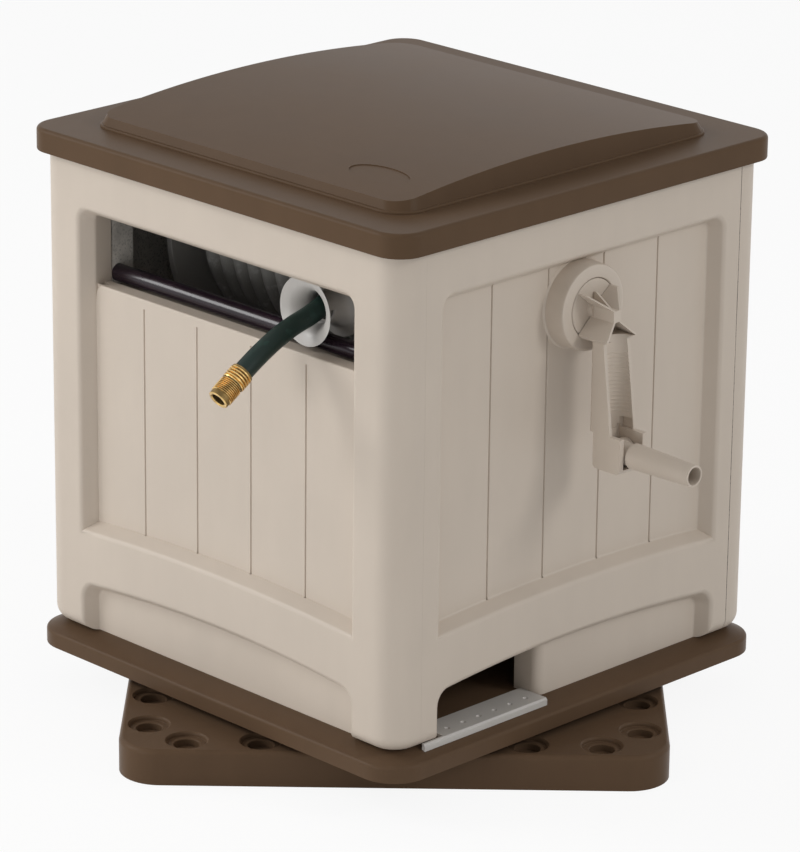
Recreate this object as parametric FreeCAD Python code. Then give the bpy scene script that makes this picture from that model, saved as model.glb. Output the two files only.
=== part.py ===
import FreeCAD, Part
import math
import os

# Box-shaped hose reel on a swivel base, in millimetres, +Z up.
# The front faces -Y and the crank is on +X.
# The origin is on the swivel axis, at the underside of the base.

V = FreeCAD.Vector
X_AXIS, Y_AXIS, UP = V(1, 0, 0), V(0, 1, 0), V(0, 0, 1)

# Moulded walls and fits
WALL = 4.0
SEAT_GAP = 0.3
RUN_GAP = 0.05

# Swivel base
BASE_HALF = 305.0
BASE_CORNER_R = 47.0
BASE_HEIGHT = 41.0
BASE_EDGE_R = 6.0
BASE_TURN = 45.0
BASE_RIBS = 8
WELL_EDGE = 32.0
WELL_ALONG = (147.0, 229.0)
WELL_R = 22.0
WELL_DEPTH = 5.0
WELL_STEP_R = 14.0
WELL_STEP_DEPTH = 13.0
ANCHOR_HOLE_R = 4.0
SLIP_RING_R = 190.0
SLIP_RING_WIDTH = 20.0
SLIP_RING_HEIGHT = 8.0
PIVOT_BOSS_R = 30.0
PIVOT_BOLT_R = 6.0
PIVOT_HEAD_R = 10.0
PIVOT_HEAD_HEIGHT = 8.0
PIVOT_BOLT_DEPTH = 30.0
WASHER_R = 17.0
WASHER_THICK = 2.0

# Turntable tray, which is the floor of the box
TRAY_MARGIN = 11.0
TRAY_CORNER_R = 43.0
TRAY_RIM = 19.0
TRAY_EDGE_R = 4.0
TRAY_RISE = 9.5
TRAY_TOP_MARGIN = 2.0

# Box panels
BOX_HALF = 288.0
BOX_CORNER_R = 35.0
BOX_FOOT_R = 18.0
SEAM_INSET = 41.0
RECESS_DEPTH = 18.0
RECESS_DRAFT = 11.0
POST_WIDTH = 77.0
RECESS_LOW = 133.0
BOARD_LENGTH = 283.0
WINDOW_HEIGHT = 81.0
TOP_RAIL = 87.7
RECESS_TOP_R = 5.5
RECESS_EDGE_R = 5.0
RAIL_HEIGHT = 83.3
ARCH_RISE = 8.5
TOE_POST = 77.0
TOE_ARCH_RISE = 12.0
TOE_CORNER_R = 9.0
BOARDS = 5
BOARD_TUCK = 6.5
GROOVE_WIDTH = 3.0
GROOVE_DEPTH = 2.0
SCREW_SPOTS = (-150.0, 150.0)
RIGHT_SCREW_SPOTS = (-20.0, 150.0)
SCREW_R = 2.5
SCREW_HEAD_R = 5.0
SCREW_HEAD_HEIGHT = 3.0
SCREW_LENGTH = 12.0

# Hose window above the boards of the front panel
SILL_THICK = 16.0
SILL_FRONT_R = 11.0
WINDOW_DEPTH = 42.0
SILL_DEPTH = 33.0
ROD_R = 10.0
ROD_BORE_R = 8.0
ROD_INSET = 51.0
ROD_RISE = 7.0
SOCKET_R = 16.0
SOCKET_THICK = 7.0

# Opening for the supply hose, and its sill
LEADER_INSET = 4.0
LEADER_WIDTH = 160.0
LEADER_DEPTH = 54.0
LEADER_SILL_THICK = 3.0
LEADER_SILL_DEPTH = 43.0
LEADER_SILL_EDGE = 2.0
LEADER_WING = 32.0
LEADER_WING_THICK = 4.5
DIMPLES = 6
DIMPLE_PITCH = 24.6
DIMPLE_INSET = 18.0
DIMPLE_R = 3.0
DIMPLE_DEPTH = 2.0

# Lid
LID_OVERHANG = 10.0
LID_CORNER_R = 33.0
LID_SKIRT = 27.0
LID_EDGE_R = 5.0
LID_OVERLAP = 23.0
STEP_INSET = 52.0
STEP_HEIGHT = 3.0
STEP_EDGE_R = 1.8
CROWN_INSET = 6.0
CROWN_CORNER_R = 26.0
CROWN_EDGE = 12.0
CROWN_RISE = 16.0
HINGE_INSET = 108.0
HINGE_LENGTH = 70.0
HINGE_KNUCKLE = 40.0
HINGE_R = 4.5
HINGE_PIN_R = 2.5
HINGE_DROP = 6.0

# Reel
REEL_DROP = 135.7
REEL_SIDE_ROOM = 76.0
DRUM_R = 60.0
DRUM_WALL = 3.0
FLANGE_R = 156.0
FLANGE_THICK = 3.0
FLANGE_RIM = 7.0
FLANGE_RIM_DEPTH = 8.0
FLANGE_HUB_R = 34.0
FLANGE_HUB_DEPTH = 12.0
FLANGE_RIBS = 8
RIB_THICK = 3.0
DRIVE_AXLE_R = 16.0
WATER_AXLE_R = 14.0
WATER_BORE_R = 8.0
AXLE_REACH_IN = 18.0
OUTLET_R = 11.0

# Hose
HOSE_R = 11.2
HOSE_BORE_R = 8.0
INNER_LAYERS = 2
LAYER_PITCH = 22.45
TURN_PITCH = 23.0
WRAP_CLEAR = 0.8
GUIDE_AT = 120.0
ROUTE_PAST_ROD = 7.0
ROUTE_BEND_DROP = 1.3
ROUTE_SAG = 5.0
WINDOW_REACH = (76.0, 16.0)
HANG_REACH = (52.0, 34.0)

# Water inlet bearing on the left panel
INLET_FLANGE_R = 40.0
INLET_FLANGE_THICK = 6.0
INLET_BODY_R = 24.0
INLET_BODY_LENGTH = 32.0
INLET_DROP = 96.0
THREAD_R = 13.2
THREAD_LENGTH = 20.0
THREAD_DEPTH = 2.0
SEAL_THICK = 1.4

# Crank
BEZEL_R = 50.0
BEZEL_THICK = 27.0
BEZEL_EDGE_R = 4.0
BEZEL_RELIEF = 3.0
BEZEL_RELIEF_DEPTH = 4.0
BEZEL_SPIGOT_R = 39.0
BEZEL_WEB = 12.0
HUB_R = 33.0
HUB_GAP = 0.8
CRANK_SCREW_R = 3.0
CRANK_SCREW_HEAD_R = 6.3
CRANK_SCREW_HEAD = 4.0
ARM_OFFSET = 16.0
ARM_DEPTH = 25.0
ARM_HALF = 21.0
ARM_LEAN = 6.5
ARM_EDGE_R = 5.0
ARM_CLEAR = 1.0
TROUGH_R = 17.0
TROUGH_TOP = -25.0
NECK_TOP = 23.0
NECK_LOW = -29.0
NECK_TIP = 11.0
WAIST_HALF = 10.0
WAIST_TOP = 5.0
WAIST_LOW = -8.0
LIP_WALL = 3.5
POCKET_FLOOR = 6.0
FIN_THICK = 2.5
FIN_TOP = 19.0
FIN_TIP = 4.0
FIN_FOOT = 29.0
HOLE_WIDTH = 15.0
HOLE_FRONT = 4.0
HOLE_HEIGHT = 12.0
CRANK_RADIUS = 153.0
KNUCKLE_R = 12.5
KNUCKLE_CLEAR = 1.0
FORK_REACH = 22.0
FORK_HALF = 21.0
FORK_CHEEK = 6.0
FORK_BACK_WALL = 5.0
GRIP_PIN_R = 4.0
GRIP_LENGTH = 89.0
GRIP_ROOT_R = 14.5
GRIP_TIP_R = 12.2
GRIP_BORE_R = 9.8
GRIP_EDGE = 1.0

# Hose guide
GUIDE_SLEEVE_R = 15.0
GUIDE_SLEEVE_HALF = 35.0
GUIDE_SLIDE_GAP = 0.3
GUIDE_THROAT_R = 14.6
GUIDE_THROAT_RISE = 37.5
GUIDE_MOUTH_R = 36.0
GUIDE_HALF_LENGTH = 25.0
GUIDE_WALL = 3.0
GUIDE_OPEN_RISE = 33.0
SILL_CLEAR = 1.0

# Coupling on the end of the hose
FERRULE_R = 13.6
FERRULE_LENGTH = 22.0
COUPLING_LENGTH = 47.0
COUPLING_BORE_R = 8.0

# Heights and planes that follow from the sizes above
RING_TOP = BASE_HEIGHT + SLIP_RING_HEIGHT
TRAY_LOW = RING_TOP + SEAT_GAP
TRAY_SHOULDER = TRAY_LOW + TRAY_RIM
FLOOR = TRAY_SHOULDER + TRAY_RISE
TRAY_HALF = BOX_HALF + TRAY_MARGIN
TRAY_TOP_HALF = BOX_HALF - BOX_FOOT_R + TRAY_TOP_MARGIN
RECESS_FACE = BOX_HALF - RECESS_DEPTH
PANEL_BACK = RECESS_FACE - WALL
SEAM = BOX_HALF - SEAM_INSET
RECESS_HALF = BOX_HALF - POST_WIDTH
TOE_HALF = BOX_HALF - TOE_POST
SILL_TOP = FLOOR + RECESS_LOW + BOARD_LENGTH
RECESS_TOP = SILL_TOP + WINDOW_HEIGHT
PANEL_TOP = RECESS_TOP + TOP_RAIL
ROD_BACK = BOX_HALF - ROD_INSET
ROD_Z = SILL_TOP + ROD_RISE
LEADER_FROM = LEADER_INSET - TOE_HALF
LEADER_TO = LEADER_FROM + LEADER_WIDTH
LID_HALF = BOX_HALF + LID_OVERHANG
STEP_HALF = LID_HALF - STEP_INSET
CROWN_HALF = STEP_HALF - CROWN_INSET
LID_LOW = PANEL_TOP - LID_OVERLAP
LID_TOP = LID_LOW + LID_SKIRT
HINGE_Y = BOX_HALF + HINGE_R + SEAT_GAP
HINGE_Z = LID_LOW - HINGE_DROP
HINGE_X = BOX_HALF - HINGE_INSET
REEL_Z = PANEL_TOP - REEL_DROP
DRUM_HALF = BOX_HALF - REEL_SIDE_ROOM
TURNS = int((2 * DRUM_HALF - 2 * HOSE_R) // TURN_PITCH)
REEL_CENTRE = V(0, 0, REEL_Z)
CORE_R = DRUM_R + SEAT_GAP + INNER_LAYERS * LAYER_PITCH
WIND_R = CORE_R + SEAT_GAP + HOSE_R
WRAP_R = math.hypot(WIND_R, 2 * HOSE_R) + 2 * HOSE_R + WRAP_CLEAR
HUB_FACE = RECESS_FACE + BEZEL_THICK
ARM_BACK = HUB_FACE + ARM_OFFSET
ARM_FRONT = ARM_BACK + ARM_DEPTH
GRIP_Z = REEL_Z - CRANK_RADIUS
FORK_FRONT = ARM_FRONT + FORK_REACH
FORK_TOP = GRIP_Z + FORK_REACH
THROAT_Z = ROD_Z + GUIDE_THROAT_RISE
TOLERANCE = 1e-3


def near(a, b):
    return abs(a - b) < TOLERANCE


def box(x0, x1, y0, y1, z0, z1):
    return Part.makeBox(x1 - x0, y1 - y0, z1 - z0, V(x0, y0, z0))


def rod(start, end, radius):
    return Part.makeCylinder(radius, (end - start).Length, start, end - start)


def pipe(start, end, radius, bore):
    return rod(start, end, radius).cut(rod(start, end, bore))


def about_z(shape, degrees):
    turned_shape = shape.copy()
    turned_shape.rotate(V(0, 0, 0), UP, degrees)
    return turned_shape


def round_edges(shape, radius, pick):
    return shape.makeFillet(radius, [edge for edge in shape.Edges if pick(edge.BoundBox)])


def round_level(shape, radius, z):
    return round_edges(shape, radius, lambda b: near(b.ZMin, z) and near(b.ZMax, z))


def turned(profile, origin, axis):
    """Solid of revolution from (along the axis, radius) points."""
    points = [V(radius, 0, along) for along, radius in profile]
    solid = Part.Face(Part.makePolygon(points + points[:1])).revolve(V(0, 0, 0), UP, 360)
    place = FreeCAD.Placement(origin, FreeCAD.Rotation(UP, axis))
    return solid.transformed(place.toMatrix())


def rounded_block(half, corner, z0, z1):
    block = box(-half, half, -half, half, z0, z1)
    return round_edges(block, corner, lambda b: near(b.XLength, 0) and near(b.YLength, 0))


def rounded_outline(half, corner, z):
    block = rounded_block(half, corner, z - 1, z)
    top = [face for face in block.Faces if near(face.BoundBox.ZMin, z)]
    return top[0].OuterWire


def spokes(count, inner, outer, thick, z0, z1):
    spoke = box(inner, outer, -thick / 2, thick / 2, z0, z1)
    return [about_z(spoke, 360.0 * i / count) for i in range(count)]


# Swivel base
def well_centres():
    reach = BASE_HALF - WELL_EDGE
    edge = [V(side * along, -reach, 0) for along in WELL_ALONG for side in (-1, 1)]
    return [FreeCAD.Rotation(UP, 90 * i).multVec(spot) for i in range(4) for spot in edge]


def base_plate():
    top = BASE_HEIGHT
    outer = round_level(rounded_block(BASE_HALF, BASE_CORNER_R, 0, top), BASE_EDGE_R, top)
    hollow = rounded_block(BASE_HALF - WALL, BASE_CORNER_R - WALL, -1, top - WALL)
    plate = outer.cut(hollow)
    boss = rod(V(0, 0, 0), V(0, 0, TRAY_LOW), PIVOT_BOSS_R)
    ring = pipe(V(0, 0, 0), V(0, 0, top - WALL), SLIP_RING_R + WALL, SLIP_RING_R)
    reach = BASE_HALF - WALL / 2
    ribs = spokes(BASE_RIBS, PIVOT_BOSS_R - WALL / 2, reach, RIB_THICK, 0, top - WALL / 2)
    cups = []
    wells = []
    for spot in well_centres():
        deck = spot + V(0, 0, top)
        step = deck - V(0, 0, WELL_DEPTH)
        bottom = deck - V(0, 0, WELL_STEP_DEPTH)
        cup = rod(bottom - V(0, 0, WALL), deck - UP, WELL_STEP_R + WALL)
        cups.append(cup.fuse(rod(step - V(0, 0, WALL), deck - UP, WELL_R + WALL)))
        wells.append(rod(step, deck + UP, WELL_R))
        wells.append(rod(bottom, deck, WELL_STEP_R))
    corner = BASE_HALF - WELL_EDGE
    for i in range(4):
        anchor = FreeCAD.Rotation(UP, 90 * i).multVec(V(WELL_ALONG[1], -corner, 0))
        wells.append(rod(anchor, anchor + V(0, 0, top), ANCHOR_HOLE_R))
    plate = plate.fuse([boss, ring] + ribs + cups).cut(wells)
    bolt_seat = V(0, 0, TRAY_LOW - PIVOT_BOLT_DEPTH)
    plate = plate.cut(rod(bolt_seat, bolt_seat + V(0, 0, TRAY_LOW), PIVOT_BOLT_R + RUN_GAP))
    return about_z(plate.removeSplitter(), BASE_TURN)


def slip_ring():
    half = SLIP_RING_WIDTH / 2
    return pipe(V(0, 0, BASE_HEIGHT), V(0, 0, RING_TOP), SLIP_RING_R + half, SLIP_RING_R - half)


def washer_seat():
    return FLOOR + SEAT_GAP


def pivot_washer():
    low = V(0, 0, washer_seat())
    return pipe(low, low + V(0, 0, WASHER_THICK), WASHER_R, PIVOT_BOLT_R + RUN_GAP)


def pivot_bolt():
    under_head = washer_seat() + WASHER_THICK
    shank = rod(V(0, 0, TRAY_LOW - PIVOT_BOLT_DEPTH), V(0, 0, under_head), PIVOT_BOLT_R)
    corners = [V(PIVOT_HEAD_R, 0, under_head)]
    hexagon = [FreeCAD.Rotation(UP, 60 * i).multVec(corners[0]) for i in range(6)]
    head = Part.Face(Part.makePolygon(hexagon + hexagon[:1])).extrude(V(0, 0, PIVOT_HEAD_HEIGHT))
    return shank.fuse(head)


# Turntable tray
def tray():
    rim = rounded_block(TRAY_HALF, TRAY_CORNER_R, TRAY_LOW, TRAY_SHOULDER)
    rim = round_level(rim, TRAY_EDGE_R, TRAY_SHOULDER)
    shoulder = rounded_outline(TRAY_HALF - TRAY_EDGE_R, TRAY_CORNER_R - TRAY_EDGE_R, TRAY_SHOULDER)
    plateau = rounded_outline(TRAY_TOP_HALF, BOX_FOOT_R, FLOOR)
    slope = Part.makeLoft([shoulder, plateau], True, True)
    hollow_rim = rounded_block(TRAY_HALF - WALL, TRAY_CORNER_R - WALL, TRAY_LOW - 1, TRAY_SHOULDER - WALL)
    hollow_top = rounded_block(TRAY_TOP_HALF - WALL, BOX_FOOT_R - WALL, TRAY_LOW, FLOOR - WALL)
    half = SLIP_RING_WIDTH / 2 + TRAY_TOP_MARGIN
    track = pipe(V(0, 0, TRAY_LOW), V(0, 0, FLOOR - WALL / 2), SLIP_RING_R + half, SLIP_RING_R - half)
    hub_low = TRAY_LOW + SEAT_GAP
    hub = rod(V(0, 0, hub_low), V(0, 0, FLOOR), PIVOT_BOSS_R)
    reach = TRAY_TOP_HALF - WALL / 2
    ribs = spokes(BASE_RIBS, PIVOT_BOSS_R - WALL / 2, reach, RIB_THICK, TRAY_LOW + WALL, FLOOR - WALL / 2)
    plate = rim.fuse(slope).cut([hollow_rim, hollow_top]).fuse([track, hub] + ribs)
    holes = [rod(V(0, 0, TRAY_LOW), V(0, 0, FLOOR + 1), PIVOT_BOLT_R + RUN_GAP)]
    for spot in screw_spots():
        holes.append(rod(spot - V(0, 0, SCREW_LENGTH), spot + UP, SCREW_R + RUN_GAP))
    return plate.cut(holes).removeSplitter()


# Box panels, each modelled as a front and then turned to its side
def inner_space():
    half, corner = BOX_HALF - WALL, BOX_CORNER_R - WALL
    space = rounded_block(half, corner, FLOOR + WALL, PANEL_TOP + WALL)
    return round_level(space, BOX_FOOT_R - WALL, FLOOR + WALL)


def envelope():
    block = rounded_block(BOX_HALF, BOX_CORNER_R, FLOOR, PANEL_TOP)
    return round_level(block, BOX_FOOT_R, FLOOR)


def level_span(a, b, rise):
    if near(rise, 0):
        return Part.LineSegment(a, b).toShape()
    return Part.Arc(a, (a + b) * 0.5 + V(0, 0, rise), b).toShape()


def arched_prism(half, low, low_rise, high, high_rise, y0, y1):
    """Upright prism along Y, between arched lower and upper edges."""
    a, b = V(-half, y0, low), V(half, y0, low)
    c, d = V(half, y0, high), V(-half, y0, high)
    sides = [Part.LineSegment(b, c).toShape(), Part.LineSegment(d, a).toShape()]
    edges = [level_span(a, b, low_rise), sides[0], level_span(c, d, high_rise), sides[1]]
    return Part.Face(Part.Wire(edges)).extrude(V(0, y1 - y0, 0))


def round_top_corners(prism, radius, above):
    def is_top_corner(b):
        return near(b.XLength, 0) and near(b.ZLength, 0) and b.ZMin > above
    return round_edges(prism, radius, is_top_corner)


def recess(grow, y0, y1):
    low, high = FLOOR + RECESS_LOW - grow, RECESS_TOP + grow
    prism = arched_prism(RECESS_HALF + grow, low, ARCH_RISE, high, 0, y0, y1)
    return round_top_corners(prism, RECESS_TOP_R + grow, (low + high) / 2)


def toe_recess(grow, y0, y1):
    high = FLOOR + RECESS_LOW - RAIL_HEIGHT + grow
    prism = arched_prism(TOE_HALF + grow, FLOOR, 0, high, TOE_ARCH_RISE, y0, y1)
    return round_top_corners(prism, TOE_CORNER_R + grow, (FLOOR + high) / 2)


def end_outline(prism, y):
    ends = [f for f in prism.Faces if near(f.BoundBox.YMin, y) and near(f.BoundBox.YMax, y)]
    return ends[0].OuterWire


def flared(pocket, grow, face, floor):
    """Pocket that narrows from the panel's face to its floor."""
    wide, narrow = pocket(grow + RECESS_DRAFT, face, 0), pocket(grow, floor, 0)
    return Part.makeLoft([end_outline(wide, face), end_outline(narrow, floor)], True, True)


def board_grooves(high):
    pitch = 2 * (RECESS_HALF + BOARD_TUCK) / BOARDS
    face, half = -RECESS_FACE, GROOVE_WIDTH / 2
    low = FLOOR + RECESS_LOW
    grooves = []
    for i in range(1, BOARDS):
        x = (i - BOARDS / 2) * pitch
        ridge = [V(x - half, face, low), V(x + half, face, low), V(x, face + GROOVE_DEPTH, low)]
        grooves.append(Part.Face(Part.makePolygon(ridge + ridge[:1])).extrude(V(0, 0, high - low)))
    return grooves


def is_recess_rim(b):
    flat = near(b.YMin, -BOX_HALF) and near(b.YMax, -BOX_HALF)
    return flat and max(-b.XMin, b.XMax) < RECESS_HALF + RECESS_DRAFT + WALL / 2


def framed_panel(half_width, extra=(), cuts=(), groove_top=None):
    """Panel with a boarded recess over an arched rail and a toe recess."""
    blank = box(-half_width, half_width, -BOX_HALF, -SEAM, FLOOR, PANEL_TOP).cut(inner_space())
    backing = [flared(pocket, WALL, -BOX_HALF, -PANEL_BACK) for pocket in (recess, toe_recess)]
    blank = blank.fuse(backing + list(extra))
    outside = -BOX_HALF - 1
    pockets = [flared(pocket, 0, outside, -RECESS_FACE) for pocket in (recess, toe_recess)]
    panel = blank.cut(pockets)
    panel = round_edges(panel.removeSplitter(), RECESS_EDGE_R, is_recess_rim)
    top = RECESS_TOP if groove_top is None else groove_top
    panel = panel.cut(board_grooves(top) + list(cuts))
    return panel.common(fence(half_width))


def fence(half_width):
    """Room that a panel may fill: the rounded box, and anything behind the recess."""
    behind = box(-half_width, half_width, -PANEL_BACK, 0, FLOOR, PANEL_TOP)
    return envelope().fuse(behind)


def panel_holes(spots):
    seat = -(SEAM + PANEL_BACK) / 2
    low, high = FLOOR - WALL, FLOOR + 2 * WALL
    return [rod(V(x, seat, low), V(x, seat, high), SCREW_R + SEAT_GAP) for x in spots]


def front_panel():
    above_sill = box(-BOX_HALF, BOX_HALF, -LID_HALF, 0, SILL_TOP, PANEL_TOP)
    window = recess(0, -LID_HALF, 0).common(above_sill)
    inner = -(BOX_HALF - WINDOW_DEPTH)
    sleeve = recess(WALL, -BOX_HALF, inner)
    sleeve = sleeve.common(box(-BOX_HALF, BOX_HALF, -BOX_HALF, inner, SILL_TOP - SILL_THICK, PANEL_TOP))
    extra = [sleeve]
    for side in (-1, 1):
        start = V(side * RECESS_HALF, -ROD_BACK, ROD_Z)
        extra.append(rod(start, start + V(side * SOCKET_THICK, 0, 0), SOCKET_R))
    reach = RECESS_HALF + SOCKET_THICK
    bore = rod(V(-reach, -ROD_BACK, ROD_Z), V(reach, -ROD_BACK, ROD_Z), ROD_R + SEAT_GAP)
    behind_sill = box(-RECESS_HALF, RECESS_HALF, SILL_DEPTH - BOX_HALF, 0, SILL_TOP - SILL_THICK, SILL_TOP)
    cuts = [window, bore, behind_sill, sill_rounding()] + panel_holes(SCREW_SPOTS)
    return framed_panel(BOX_HALF, extra, cuts, SILL_TOP - SILL_FRONT_R).removeSplitter()


def sill_rounding():
    """Waste in front of the rolled edge along the top of the boards."""
    y, z = SILL_FRONT_R - RECESS_FACE, SILL_TOP - SILL_FRONT_R
    corner = box(-RECESS_HALF, RECESS_HALF, -RECESS_FACE, y, z, SILL_TOP)
    return corner.cut(rod(V(-RECESS_HALF, y, z), V(RECESS_HALF, y, z), SILL_FRONT_R))


def side_half():
    return SEAM - SEAT_GAP


def right_panel():
    depth = -(BOX_HALF - LEADER_DEPTH)
    duct = toe_recess(WALL, -PANEL_BACK, depth)
    duct = duct.common(box(-BOX_HALF, LEADER_TO + WALL, -BOX_HALF, 0, FLOOR, PANEL_TOP))
    leader = toe_recess(0, -BOX_HALF, 0)
    leader = leader.common(box(LEADER_FROM, LEADER_TO, -BOX_HALF, 0, FLOOR, PANEL_TOP))
    axle = rod(V(0, -BOX_HALF, REEL_Z), V(0, 0, REEL_Z), BEZEL_SPIGOT_R + SEAT_GAP)
    cuts = [leader, axle] + panel_holes(RIGHT_SCREW_SPOTS)
    return about_z(framed_panel(side_half(), [duct], cuts).removeSplitter(), 90)


def left_panel():
    panel = framed_panel(side_half(), cuts=panel_holes(SCREW_SPOTS))
    return about_z(panel.removeSplitter(), -90)


def hinge_span(side, from_middle, to_middle):
    spots = [V(side * HINGE_X + x, HINGE_Y, HINGE_Z) for x in (from_middle, to_middle)]
    return spots


def back_panel():
    panel = about_z(framed_panel(BOX_HALF, cuts=panel_holes(SCREW_SPOTS)).removeSplitter(), 180)
    outer, inner = HINGE_LENGTH / 2, HINGE_KNUCKLE / 2 + SEAT_GAP
    knuckles = []
    for side in (-1, 1):
        for end in (-1, 1):
            start, finish = hinge_span(side, end * inner, end * outer)
            knuckles.append(rod(start, finish, HINGE_R))
            low, high = sorted((start.x, finish.x))
            knuckles.append(box(low, high, BOX_HALF - 1, HINGE_Y, HINGE_Z - HINGE_R, HINGE_Z))
    panel = panel.fuse(knuckles)
    bores = [rod(*hinge_span(side, -outer, outer), HINGE_PIN_R + RUN_GAP) for side in (-1, 1)]
    return panel.cut(bores).removeSplitter()


def screw_spots():
    """Floor screws of the four panels, on the tray's top."""
    seat = -(SEAM + PANEL_BACK) / 2
    spots = []
    for i, along in enumerate((SCREW_SPOTS, RIGHT_SCREW_SPOTS, SCREW_SPOTS, SCREW_SPOTS)):
        turn_to_side = FreeCAD.Rotation(UP, 90 * i)
        spots += [turn_to_side.multVec(V(x, seat, FLOOR)) for x in along]
    return spots


def panel_screws():
    brim, top = WALL + SCREW_HEAD_HEIGHT / 2, WALL + SCREW_HEAD_HEIGHT
    profile = [(-SCREW_LENGTH, 0), (-SCREW_LENGTH, SCREW_R), (WALL, SCREW_R), (WALL, SCREW_HEAD_R),
               (brim, SCREW_HEAD_R), (top, SCREW_R), (top, 0)]
    return Part.makeCompound([turned(profile, spot, UP) for spot in screw_spots()])


def leader_sill():
    """Flat plate in the supply opening, with a short upright lip on the tray's slope."""
    gap, edge = SEAT_GAP, LEADER_SILL_EDGE
    low, top = FLOOR + gap, FLOOR + gap + LEADER_SILL_THICK
    slope_run = TRAY_HALF - TRAY_EDGE_R - TRAY_TOP_HALF
    lip_y, inner = edge - BOX_HALF, LEADER_SILL_DEPTH - BOX_HALF
    drop = TRAY_RISE * (-lip_y - TRAY_TOP_HALF) / slope_run
    under = [V(0, inner, low), V(0, -TRAY_TOP_HALF, low), V(0, lip_y, low - drop)]
    over = [V(0, lip_y, top - edge), V(0, lip_y + edge, top), V(0, inner, top)]
    start, end = LEADER_FROM + gap, LEADER_TO - gap
    section = Part.Face(Part.makePolygon(under + over + under[:1]))
    sill = section.extrude(V(end - start, 0, 0))
    sill.translate(V(start, 0, 0))
    wing_back = lip_y + LEADER_WING_THICK
    wing = section.extrude(V(end - start + LEADER_WING, 0, 0))
    wing.translate(V(start - LEADER_WING, 0, 0))
    wing = wing.common(box(-BOX_HALF, BOX_HALF, lip_y, wing_back, 0, PANEL_TOP))
    sill = sill.fuse(wing).removeSplitter()
    first = (start + end - (DIMPLES - 1) * DIMPLE_PITCH) / 2
    dimples = []
    for i in range(DIMPLES):
        spot = V(first + i * DIMPLE_PITCH, DIMPLE_INSET - BOX_HALF, top + DIMPLE_R - DIMPLE_DEPTH)
        dimples.append(Part.makeSphere(DIMPLE_R, spot))
    return about_z(sill.cut(dimples), 90)


# Lid
def crown(half, corner, rise):
    """Block with rounded corners under a barrel-shaped top that is highest at mid-depth."""
    low, edge = LID_TOP - WALL - STEP_HEIGHT, LID_TOP + CROWN_EDGE
    barrel_r = (half * half + rise * rise) / (2 * rise)
    centre = edge + rise - barrel_r
    barrel = rod(V(-LID_HALF, 0, centre), V(LID_HALF, 0, centre), barrel_r)
    return rounded_block(half, corner, low, edge + 2 * rise).common(barrel)


def lid():
    skirt = round_level(rounded_block(LID_HALF, LID_CORNER_R, LID_LOW, LID_TOP), LID_EDGE_R, LID_TOP)
    step_top = LID_TOP + STEP_HEIGHT
    step = rounded_block(STEP_HALF, CROWN_CORNER_R + STEP_HALF - CROWN_HALF, LID_TOP - WALL, step_top)
    step = round_level(step, STEP_EDGE_R, step_top)
    raised = crown(CROWN_HALF, CROWN_CORNER_R, CROWN_RISE)
    hollow = rounded_block(LID_HALF - WALL, LID_CORNER_R - WALL, LID_LOW - 1, LID_TOP - WALL)
    hollow_crown = crown(CROWN_HALF - WALL, CROWN_CORNER_R - WALL, CROWN_RISE)
    hollow_crown.translate(V(0, 0, -WALL))
    shell = skirt.fuse([step, raised]).cut([hollow, hollow_crown])
    knuckle = HINGE_KNUCKLE / 2
    tabs = []
    bores = []
    for side in (-1, 1):
        start, finish = hinge_span(side, -knuckle, knuckle)
        tabs.append(rod(start, finish, HINGE_R))
        tabs.append(box(start.x, finish.x, LID_HALF - WALL, HINGE_Y + HINGE_R, HINGE_Z, LID_LOW + WALL))
        bores.append(rod(start, finish, HINGE_PIN_R + RUN_GAP))
    return shell.fuse(tabs).cut(bores).removeSplitter()


def lid_hinge_pins():
    outer = HINGE_LENGTH / 2
    return Part.makeCompound([rod(*hinge_span(side, -outer, outer), HINGE_PIN_R) for side in (-1, 1)])


# Reel
def on_axle(x):
    return V(x, 0, REEL_Z)


def reel_flange(side, axle_r):
    inner, plate = side * DRUM_HALF, side * (DRUM_HALF + FLANGE_THICK)
    rim_edge, hub_edge = side * (DRUM_HALF + FLANGE_RIM_DEPTH), side * (DRUM_HALF + FLANGE_HUB_DEPTH)
    disc = rod(on_axle(inner), on_axle(plate), FLANGE_R)
    rim = pipe(on_axle(inner), on_axle(rim_edge), FLANGE_R, FLANGE_R - FLANGE_RIM)
    hub = rod(on_axle(inner), on_axle(hub_edge), FLANGE_HUB_R)
    low, high = sorted((inner, rim_edge))
    rib = box(low, high, FLANGE_HUB_R - 1, FLANGE_R - FLANGE_RIM + 1, -RIB_THICK / 2, RIB_THICK / 2)
    rib.translate(REEL_CENTRE)
    ribs = []
    for i in range(FLANGE_RIBS):
        turned_rib = rib.copy()
        turned_rib.rotate(REEL_CENTRE, X_AXIS, 360.0 * i / FLANGE_RIBS)
        ribs.append(turned_rib)
    flange = disc.fuse([rim, hub] + ribs)
    return flange.cut(rod(on_axle(inner), on_axle(hub_edge), axle_r + RUN_GAP)).removeSplitter()


def outlet_axis():
    """The hose leaves the water axle towards the drum's wall, beside the left flange."""
    return -(DRUM_HALF - 2 * AXLE_REACH_IN)


def reel_drum():
    barrel = pipe(on_axle(-DRUM_HALF), on_axle(DRUM_HALF), DRUM_R, DRUM_R - DRUM_WALL)
    start = on_axle(outlet_axis())
    return barrel.cut(rod(start, start + V(0, 0, DRUM_R + 1), OUTLET_R + SEAT_GAP))


def drive_axle():
    return rod(on_axle(DRUM_HALF - AXLE_REACH_IN), on_axle(RECESS_FACE - SEAT_GAP), DRIVE_AXLE_R)


def inlet_seat():
    """Inner end of the inlet bearing's chamber."""
    return -(PANEL_BACK - INLET_FLANGE_THICK)


def water_axle():
    outer = inlet_seat() + SEAL_THICK + 2 * SEAT_GAP
    return pipe(on_axle(outer), on_axle(-(DRUM_HALF - AXLE_REACH_IN)), WATER_AXLE_R, WATER_BORE_R)


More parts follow.
